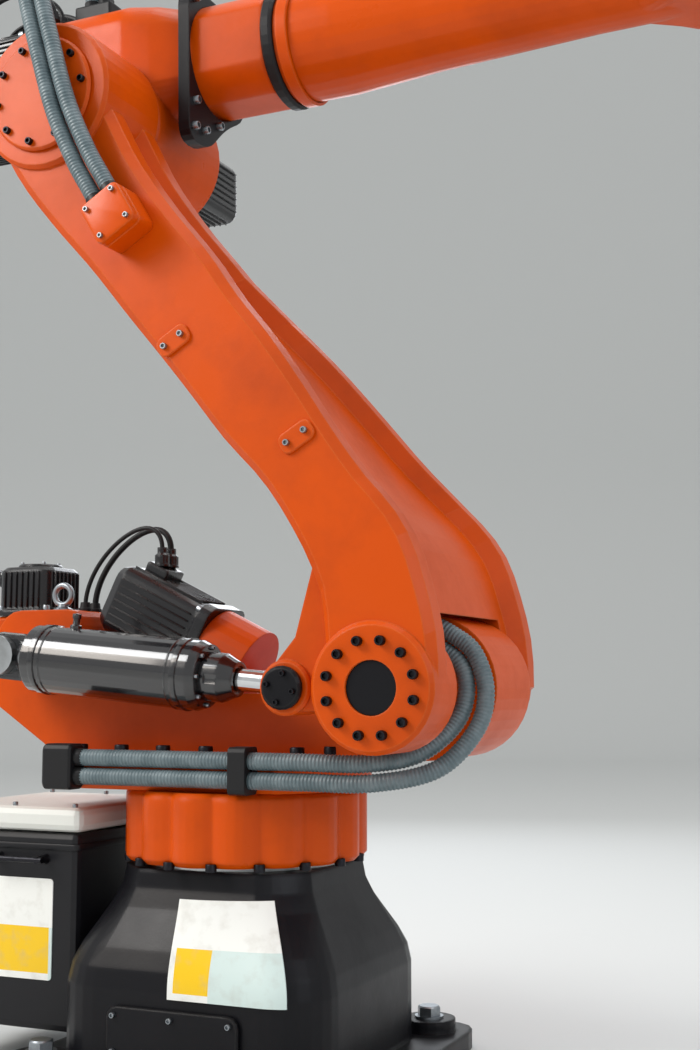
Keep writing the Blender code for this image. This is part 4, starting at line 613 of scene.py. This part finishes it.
def motor_screws(side, length):
    """Four screws behind the flange's corners and four round the end cap."""
    reach = 0.40 * side
    corners = [(0.10 * length, y * reach, z * reach) for y in (-1, 1) for z in (-1, 1)]
    on_cap = facing((length + 0.0065, 0.0, 0.0), (1, 0, 0))
    screws = [put(facing(corner, (1, 0, 0)), cap_screw(M10)) for corner in corners]
    return screws + ring_of(cap_screw(M5), 4, 0.27 * side, on_cap, math.pi / 4)


pivot = {joint["name"]: Vector(joint.get("pos_m") or (0, 0, 0)) for joint in frame["joints"]}
axis = {joint["name"]: Vector(joint["axis"]) for joint in frame["joints"]}
tilt = math.atan2(axis["forearm_roll"].z, axis["forearm_roll"].x)
link_line = pivot["elbow"] - pivot["shoulder"]
lean = math.atan2(-link_line.x, link_line.z)
# The link's own frame stands on the shoulder and the arm's on the elbow, each along its casting
in_link = Matrix.Translation(pivot["shoulder"]) @ Matrix.Rotation(-lean, 4, "Y")
in_arm = Matrix.Translation(pivot["elbow"]) @ Matrix.Rotation(-tilt, 4, "Y")
backwards = Matrix.Rotation(math.pi, 4, "Z")
# Each row: the motor, its body, its side and length, and where its flange stands
motors = (
    ("slew_motor", "column", 0.130, 0.095,
     Matrix.Translation((-0.550, 0.168, 0.7623)) @ Matrix.Rotation(-math.pi / 2, 4, "Y")),
    ("shoulder_motor", "column", 0.136, 0.205,
     Matrix.Translation((-0.075, 0.020, 0.698)) @ Matrix.Rotation(math.radians(26.0), 4, "Y") @ backwards),
    ("elbow_motor", "arm_housing", 0.128, 0.185,
     in_arm @ Matrix.Translation((0.0, 0.1243, 0.0)) @ Matrix.Rotation(math.pi / 2, 4, "Z")),
    ("forearm_motor", "arm_housing", 0.092, 0.190, in_arm @ Matrix.Translation((-0.1603, -0.051, 0.186)) @ backwards),
    ("wrist_motor", "arm_housing", 0.092, 0.190, in_arm @ Matrix.Translation((-0.1603, 0.051, 0.186)) @ backwards),
    ("flange_motor", "arm_housing", 0.092, 0.190, in_arm @ Matrix.Translation((-0.1603, 0.0, 0.078)) @ backwards),
)
for name, body, side, length, matrix in motors:
    dress(motor_enamel, name)
    trim, screws = ([put(matrix, part) for part in make(side, length)] for make in (motor_trim, motor_screws))
    piece(name + "_ribs", trim, motor_enamel, body, "black_motor")
    piece(name + "_screws", screws, zinc_plate, body, "bright_steel")

# The counterbalance: a drawn steel tube under gloss black enamel, with welded end rings and a filling valve.
# Its gland is a notched nut under the same enamel, inside eight M5 screws; the rod is hard chromed and polished.
gloss_black, tree, shader = new_material("gloss_black_enamel_on_steel_tube")
place = add(tree, "TexCoord").outputs["Object"]
swirl = add(tree, "TexNoise", {"Vector": place, "Scale": 14.0, "Detail": 5.0}).outputs["Fac"]
gloss = add(tree, "MapRange", {"Value": swirl, "To Min": 0.10, "To Max": 0.26}).outputs[0]
rounded = add(tree, "Bevel", {"Radius": 0.007}, samples=6).outputs[0]
feed(tree, shader, {"Roughness": gloss, "Normal": rounded})
shader.inputs["Base Color"].default_value = linear("#101014")
shader.inputs["Coat Weight"].default_value = 1.0
shader.inputs["Coat Roughness"].default_value = 0.06
dress(gloss_black, "cylinder_barrel")
rod_line = axis["counterbalance_slide"]
rod_turn = Matrix.Rotation(-math.atan2(rod_line.z, rod_line.x), 4, "Y")
in_cylinder = Matrix.Translation(pivot["counterbalance_swing"]) @ rod_turn
TUBE = 0.0575


def along_cylinder(x):
    """The matrix that stands a part on the cylinder's line, a length from its rear pin."""
    return in_cylinder @ facing((x, 0.0, 0.0), (1, 0, 0))


band = lathe([(TUBE - 0.001, 0.0), (TUBE + 0.0022, 0.001), (TUBE + 0.0022, 0.011), (TUBE - 0.001, 0.012)], 64)
bead = lathe([(TUBE - 0.001, -0.0035), (TUBE + 0.0016, 0.0), (TUBE - 0.001, 0.0035)], 64)
rings = ((0.078, band), (0.352, band), (0.100, bead), (0.344, bead))
along_tube = [put(along_cylinder(x), part) for x, part in rings]
valve = lathe([(0.0, -0.004), (0.010, -0.004), (0.010, 0.004), (0.006, 0.006), (0.006, 0.016), (0.0075, 0.016),
               (0.0075, 0.024), (0.0, 0.025)], 18)
along_tube.append(put(in_cylinder @ facing((0.130, 0.0, TUBE), (0, 0, 1)), valve))
piece("cylinder_bands", along_tube, gloss_black, "counterbalance_cylinder", "black_cylinder")
piece("gland_screws", ring_of(cap_screw(M5), 8, 0.0462, along_cylinder(0.395)), zinc_plate,
      "counterbalance_cylinder", "bright_steel")
NUT_START, NUT_LENGTH, NUT_RADIUS, NUT_BORE = 0.3953, 0.055, 0.0400, 0.0186
notched = np.where(np.arange(48) % 12 < 2, 0.0365, NUT_RADIUS)
notched_nut = lathe([(NUT_BORE, 0.0), (NUT_RADIUS, 0.0), (NUT_RADIUS, 0.010), (notched, 0.010), (notched, 0.031),
                     (0.0385, 0.033), (0.0305, 0.050), (0.0285, NUT_LENGTH), (0.0220, NUT_LENGTH), (0.0215, 0.052),
                     (NUT_BORE, 0.052), (NUT_BORE, 0.0)], 48)
gland = piece("gland_nut", [put(along_cylinder(NUT_START), notched_nut)], gloss_black,
              "counterbalance_cylinder", "black_cylinder")
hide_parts("cylinder_gland")
dress(ground_steel("turned_pin_steel", "#B4B8BA", 0.30, "Y", 0.002), "counterbalance_pin")
dress(ground_steel("hard_chromed_steel", "#C9CCCE", 0.16, "X", 0.004), "piston_rod")

# The link arm: one long iron casting, flat on its near side, that widens downwards into a fork round the drum.
# It is sand cast and sprayed orange. M10 screws hold the shoulder's caps, M8 the elbow cover, M6 the ear pin's cap.
dress(orange_enamel, "link_casting", "elbow_cover")
dress(black_enamel, "shoulder_cap_near", "shoulder_cap_far", "ear_pin_cap")
NEAR_FACE, FAR_FACE, ELBOW_FACE, LINK_LONG = -0.280, 0.245, -0.2893, 1.150
EAR_PIN = (-0.1286, -0.2703, 0.0773)
link_screws = ring_of(cap_screw(M10), 12, 0.070, in_link @ facing((0.0, NEAR_FACE, 0.0), (0, -1, 0)), math.pi / 12)
link_screws += ring_of(cap_screw(M10), 10, 0.062, in_link @ facing((0.0, FAR_FACE, 0.0), (0, 1, 0)))
link_screws += ring_of(cap_screw(M8), 10, 0.084, in_link @ facing((0.0, ELBOW_FACE, LINK_LONG), (0, -1, 0)), 0.2)
link_screws += ring_of(cap_screw(M6), 4, 0.022, in_link @ facing(EAR_PIN, (0, -1, 0)), math.pi / 4)
piece("link_screws", link_screws, black_oxide, "link_arm", "black_casting")
# Two cast pads stand a little proud of the flat side, drilled and tapped for brackets and closed with screws
pad = slab(0.060, 0.034, 0.012, [(0.0, -0.004), (0.0, 0.004), (0.0016, 0.0056)])
on_side = in_link @ Matrix.Translation((0.0, -0.270, 0.0)) @ Matrix.Rotation(math.pi / 2, 4, "X")
PAD_PLACES, PAD_SCREW = ((0.088, 0.385), (-0.010, 0.640)), 0.007
pads = [put(on_side @ Matrix.Translation((x, z, 0.0)), pad) for x, z in PAD_PLACES]
piece("link_pads", pads, orange_enamel, "link_arm", "orange_paint")
pad_screws = [put(on_side @ Matrix.Translation((x + s * 0.017, z, 0.0050)), cap_screw(PAD_SCREW))
              for x, z in PAD_PLACES for s in (-1, 1)]
piece("pad_screws", pad_screws, zinc_plate, "link_arm", "bright_steel")

# The arm housing: an iron casting on the elbow, with a black cover plate at its front and motors behind.
# Six M10 screws hold the plate; a lifting eye stands on the housing's roof.
dress(turned_orange, "arm_casting", "forearm_casting", "wrist_casting")
dress(black_enamel, "arm_front_plate", "wrist_cap_near", "wrist_cap_far")
PLATE_FACE, FOREARM_RISE = 0.180, 0.130
plate_holes = ((-0.084, 0.090), (0.084, 0.090), (-0.084, -0.098), (-0.052, -0.142), (0.000, -0.116), (-0.088, -0.146))
plate_screws = [put(in_arm @ facing((PLATE_FACE, y, FOREARM_RISE + z), (1, 0, 0)), cap_screw(M10))
                for y, z in plate_holes]
piece("front_plate_screws", plate_screws, zinc_plate, "arm_housing", "bright_steel")
arm_eye = put(in_arm @ Matrix.Translation((0.030, 0.070, 0.2415)), eye_bolt)
piece("arm_lifting_eye", [arm_eye], zinc_plate, "arm_housing", "bright_steel")

# The forearm: a tapered cast tube that turns in its seal, with a fork for the wrist and a screwed cap on each side.
# The tool flange is turned steel, with a locating pin in its bolt circle.
BAND_X, WRIST_X, WRIST_FACE, FLANGE_X, PIN_CIRCLE = 0.345, 1.200, 0.1023, 1.415, 0.0625
forearm_band = lathe([(0.0985, 0.0), (0.1035, 0.001), (0.1035, 0.020), (0.0985, 0.021)], 64)
band_at = in_arm @ Matrix.Translation((BAND_X, 0.0, FOREARM_RISE)) @ Matrix.Rotation(math.pi / 2, 4, "Y")
piece("forearm_flange", [put(band_at, forearm_band)], orange_enamel, "forearm", "orange_paint")
wrist_screws = []
for side in (-1, 1):
    on_wrist = in_arm @ facing((WRIST_X, side * WRIST_FACE, FOREARM_RISE), (0, side, 0))
    wrist_screws += ring_of(cap_screw(M6), 8, 0.042, on_wrist)
piece("wrist_cap_screws", wrist_screws, zinc_plate, "forearm", "bright_steel")
dress(ground_steel("turned_flange_steel", "#B7BABC", 0.26, "X", 0.0015), "tool_flange")
pin = lathe([(0.0, -0.006), (0.0045, -0.006), (0.0045, 0.0), (0.0, 0.0)], 20)
pin_at = in_arm @ facing((FLANGE_X, 0.0, FOREARM_RISE + PIN_CIRCLE), (1, 0, 0))
piece("flange_pin", [put(pin_at, pin)], black_oxide, "tool_flange", "bright_steel")

# The hoses: corrugated nylon conduit, 28 mm across with a ridge every 6 mm, in a grey-green that dust dulls.
# Two run along the column, loop under the shoulder and rise into the fork; two loop over the elbow.
conduit, tree, shader = new_material("corrugated_nylon_conduit")
place = add(tree, "TexCoord").outputs["Object"]
dusting = add(tree, "TexNoise", {"Vector": place, "Scale": 30.0, "Detail": 5.0, "Roughness": 0.65}).outputs["Fac"]
pale_share = add(tree, "MapRange", {"Value": dusting, "From Min": 0.4, "From Max": 0.75, "To Max": 0.55}).outputs[0]
tone = add(tree, "Mix", {0: pale_share, 6: linear("#56666B"), 7: linear("#8A979B")}, data_type="RGBA").outputs[2]
tree.links.new(tone, shader.inputs["Base Color"])
shader.inputs["Roughness"].default_value = 0.42
HOSE, RIDGE, HOSE_PITCH = 0.014, 0.006, 0.030


def smooth_route(points, count):
    """Evenly spread points on the cubic curve through the given ones, each with the slope of its neighbours."""
    route = np.array(points, float)
    padded = np.vstack([2 * route[0] - route[1], route, 2 * route[-1] - route[-2]])
    t = np.linspace(0.0, 1.0, 16, endpoint=False)[None, :, None]
    a, b, c, d = (padded[k : k + len(route) - 1, None, :] for k in range(4))
    fine = 0.5 * (2 * b + (c - a) * t + (2 * a - 5 * b + 4 * c - d) * t**2 + (3 * b - a - 3 * c + d) * t**3)
    fine = np.vstack([fine.reshape(-1, 3), route[-1]])
    lengths = np.concatenate([[0.0], np.cumsum(np.linalg.norm(np.diff(fine, axis=0), axis=1))])
    even = np.linspace(0.0, lengths[-1], count)
    return np.stack([np.interp(even, lengths, fine[:, axis]) for axis in range(3)], axis=1), lengths[-1]


def tube(points, radius, per_ridge=6, swell=0.04, sides=18):
    """A tube along a route, whose radius follows a rounded square wave of the given swell, one wave to each ridge."""
    coarse, length = smooth_route(points, 90)
    count = int(length / RIDGE) * per_ridge + 1
    route, _ = smooth_route(coarse, count)
    tangent = np.gradient(route, axis=0)
    tangent /= np.linalg.norm(tangent, axis=1, keepdims=True)
    frame_side = np.zeros_like(route)
    frame_side[0] = np.cross(tangent[0], (0.31, 0.52, 0.79))
    for k in range(1, count):
        frame_side[k] = frame_side[k - 1] - tangent[k] * (frame_side[k - 1] @ tangent[k])
        frame_side[k] /= np.linalg.norm(frame_side[k])
    frame_side[0] /= np.linalg.norm(frame_side[0])
    other = np.cross(tangent, frame_side)
    wave = np.tanh(2.2 * np.cos(np.arange(count) * math.tau / per_ridge))
    radii = radius * (1 - swell + swell * wave)
    radii[[0, -1]] = 0.0
    route[0], route[-1] = route[1], route[-2]
    turns = np.arange(sides) * math.tau / sides
    ring = np.cos(turns)[None, :, None] * frame_side[:, None] + np.sin(turns)[None, :, None] * other[:, None]
    grid = (route[:, None] + radii[:, None, None] * ring).reshape(-1, 3)
    row, i = np.meshgrid(np.arange(count - 1), np.arange(sides), indexing="ij")
    first, after = row * sides + i, row * sides + (i + 1) % sides
    return grid, np.stack([first, after, after + sides, first + sides], -1).reshape(-1, 4)


def carry(matrix, points):
    """Points of a moving part's own frame, at rest, in the frame of the whole."""
    return [tuple(matrix @ Vector(point)) for point in points]


hose_y, heights, split_x, SPLIT_GAP = -0.1873, (0.4813, 0.5113), 0.090, 0.0002
shoulder = pivot["shoulder"]
loop_side = (-0.174, -0.140, -0.105, -0.088, -0.081, -0.080, -0.080)
loops = (
    ((-0.040, 0.050, 0.100, 0.111, 0.090, 0.052, 0.015), (-0.143, -0.122, -0.065, -0.005, 0.054, 0.084, 0.103)),
    ((-0.050, 0.020, 0.067, 0.080, 0.066, 0.021, -0.009), (-0.114, -0.100, -0.055, -0.005, 0.039, 0.069, 0.084)),
)
for row, name in enumerate(("lower", "upper")):
    run = tube([(-0.2147, hose_y, heights[row]), (split_x - SPLIT_GAP, hose_y, heights[row])], HOSE)
    along_column = piece("column_hose_" + name + "_conduit", [run], conduit, "column", "hose_rubber", 60.0)
    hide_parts("column_hose_" + name)
    forward, above = loops[row]
    route = [(x, hose_y, heights[row]) for x in (split_x + SPLIT_GAP, 0.105, shoulder.x - 0.145)]
    route += [(shoulder.x + x, y, shoulder.z + z) for x, y, z in zip(forward, loop_side, above)]
    shift = (0.5 - row) * HOSE_PITCH
    route += carry(in_link, [(0.045 + shift, -0.080, 0.1187 - below) for below in (0.018, 0.0009)])
    loop = surface("shoulder_hose_" + name + "_conduit", *tube(route, HOSE), 60.0)
    loop.data.materials.append(conduit)
    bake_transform(loop)
    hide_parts("shoulder_hose_" + name)
side_hose_y = -0.3063
over_elbow = ((-0.308, 0.990), (-0.314, 1.080), (-0.316, 1.180), (-0.309, 1.300), (-0.285, 1.410), (-0.220, 1.485),
              (-0.130, 1.515), (-0.055, 1.490))
over_forward = (0.001, 0.013, 0.038, 0.068, 0.096, 0.116, 0.120, 0.108)
for row, name in enumerate(("rear", "front")):
    shift = (row - 0.5) * HOSE_PITCH
    route = carry(in_link, [(0.016 + shift, side_hose_y, 0.900 + above) for above in (0.0009, 0.018, 0.036)])
    route += carry(in_link, [(0.016 + shift + x, y, z) for x, (y, z) in zip(over_forward, over_elbow)])
    route += carry(in_arm, [(-0.060 + shift, -0.020, 0.2783 + above) for above in (0.036, 0.018, 0.0009)])
    loop = surface("elbow_hose_" + name + "_conduit", *tube(route, HOSE), 60.0)
    loop.data.materials.append(conduit)
    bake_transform(loop)
    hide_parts("elbow_hose_" + name)

# The motors' cables: black polyurethane, 11 mm for power and 8 mm for signals, from each connector's nut
# over the motor's end to a nylon gland in the casting beside it. They are short and held at both ends.
cable_skin = powder_coat("black_polyurethane_cable", "#121214", "#4A4A48", 0.0010, 0.46, 0.3)
cable_gland = lathe([(0.0, -0.002), (0.012, -0.002), (0.012, 0.005), (0.010, 0.006), (0.0085, 0.016), (0.0, 0.016)], 12)
glands = {"column": [], "arm_housing": []}


def arc(start, out, end, rise, reach):
    """A cubic curve between two points that leaves each along its own direction, pulled by the reach."""
    t = np.linspace(0.0, 1.0, 25)[:, None]
    a, b, c, d = (np.array(p) for p in (start, start + out * reach, end + rise * reach, end))
    return (1 - t) ** 3 * a + 3 * (1 - t) ** 2 * t * b + 3 * (1 - t) * t**2 * c + t**3 * d


placed = {name: (side, length, matrix) for name, _, side, length, matrix in motors}
# Each row: the motor, its body and that body's frame, where its two glands stand, and the arc's pull
cable_ends = (
    ("shoulder_motor", "column", Matrix.Identity(4), ((-0.335, 0.038, 0.762), (-0.335, 0.006, 0.762)), 0.10),
    ("forearm_motor", "arm_housing", in_arm, ((-0.120, -0.080, 0.2423), (-0.120, -0.050, 0.2423)), 0.09),
    ("wrist_motor", "arm_housing", in_arm, ((-0.120, 0.030, 0.2423), (-0.120, 0.060, 0.2423)), 0.09),
)
CABLE_RADII, GRIP_HIGH, GLAND_HIGH = (0.0055, 0.0040), 0.028, 0.008
lean_out = CONNECTOR_LEAN.normalized()
for name, body, base, feet, reach in cable_ends:
    side, length, matrix = placed[name]
    rise = base.to_3x3() @ Vector((0, 0, 1))
    cables = []
    for row, radius, foot in zip((-1, 1), CABLE_RADII, feet):
        tip = matrix @ (plug(side, length, row) + lean_out * GRIP_HIGH)
        foot = base @ Vector(foot)
        route = arc(tip, matrix.to_3x3() @ lean_out, foot + rise * GLAND_HIGH, rise, reach)
        cables.append(tube(route, radius, 1, 0.0, 12))
        glands[body].append(put(facing(foot, rise), cable_gland))
    piece(name + "_cables", cables, cable_skin, body, "hose_rubber", 60.0)
for body, parts in glands.items():
    piece(body + "_cable_glands", parts, nylon, body, "black_plastic")

# Where the hoses end: moulded nylon glands, each hose held by a ribbed nut. The one on the link's side is a cast
# bracket with the link's own enamel, its lid held by four M6 screws.
grip = 0.0142 + 0.0006 * (np.arange(36) % 2)
hose_nut = lathe([(0.0134, 0.0), (0.0148, 0.0), (0.0148, 0.002), (grip, 0.003), (grip, 0.012), (0.0134, 0.014),
                  (0.0134, 0.0)], 36)
pair = (-HOSE_PITCH / 2, HOSE_PITCH / 2)
inlet_nuts = [put(facing((-0.215, hose_y, z), (1, 0, 0)), hose_nut) for z in heights]
piece("inlet_nuts", inlet_nuts, nylon, "column", "black_plastic")
link_nuts = [put(in_link @ facing((0.045 + x, -0.080, 0.1185), (0, 0, -1)), hose_nut) for x in pair]
link_nuts += [put(in_link @ facing((0.016 + x, side_hose_y, 0.9002), (0, 0, 1)), hose_nut) for x in pair]
piece("link_gland_nuts", link_nuts, nylon, "link_arm", "black_plastic")
arm_nuts = [put(in_arm @ facing((-0.060 + x, -0.020, 0.2785), (0, 0, 1)), hose_nut) for x in pair]
piece("arm_gland_nuts", arm_nuts, nylon, "arm_housing", "black_plastic")
on_bracket = in_link @ Matrix.Translation((0.016, -0.2703, 0.861)) @ Matrix.Rotation(math.pi / 2, 4, "X")
bracket = slab(0.078, 0.078, 0.012, [(0.0, 0.0), (0.0, 0.040), (0.0012, 0.0415), (0.0012, 0.0425), (0.0, 0.044),
                                     (0.0, 0.056), (0.0014, 0.0590), (0.004, 0.0600)], 6)
casting = piece("upper_gland_casting", [put(on_bracket, bracket)], orange_enamel, "link_arm", "orange_paint")
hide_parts("hose_gland_upper")
bracket_corners = [(x, y, 0.0595) for x in (-0.027, 0.027) for y in (-0.027, 0.027)]
bracket_screws = [put(on_bracket @ Matrix.Translation(corner), cap_screw(M6)) for corner in bracket_corners]
piece("upper_gland_screws", bracket_screws, zinc_plate, "link_arm", "bright_steel")
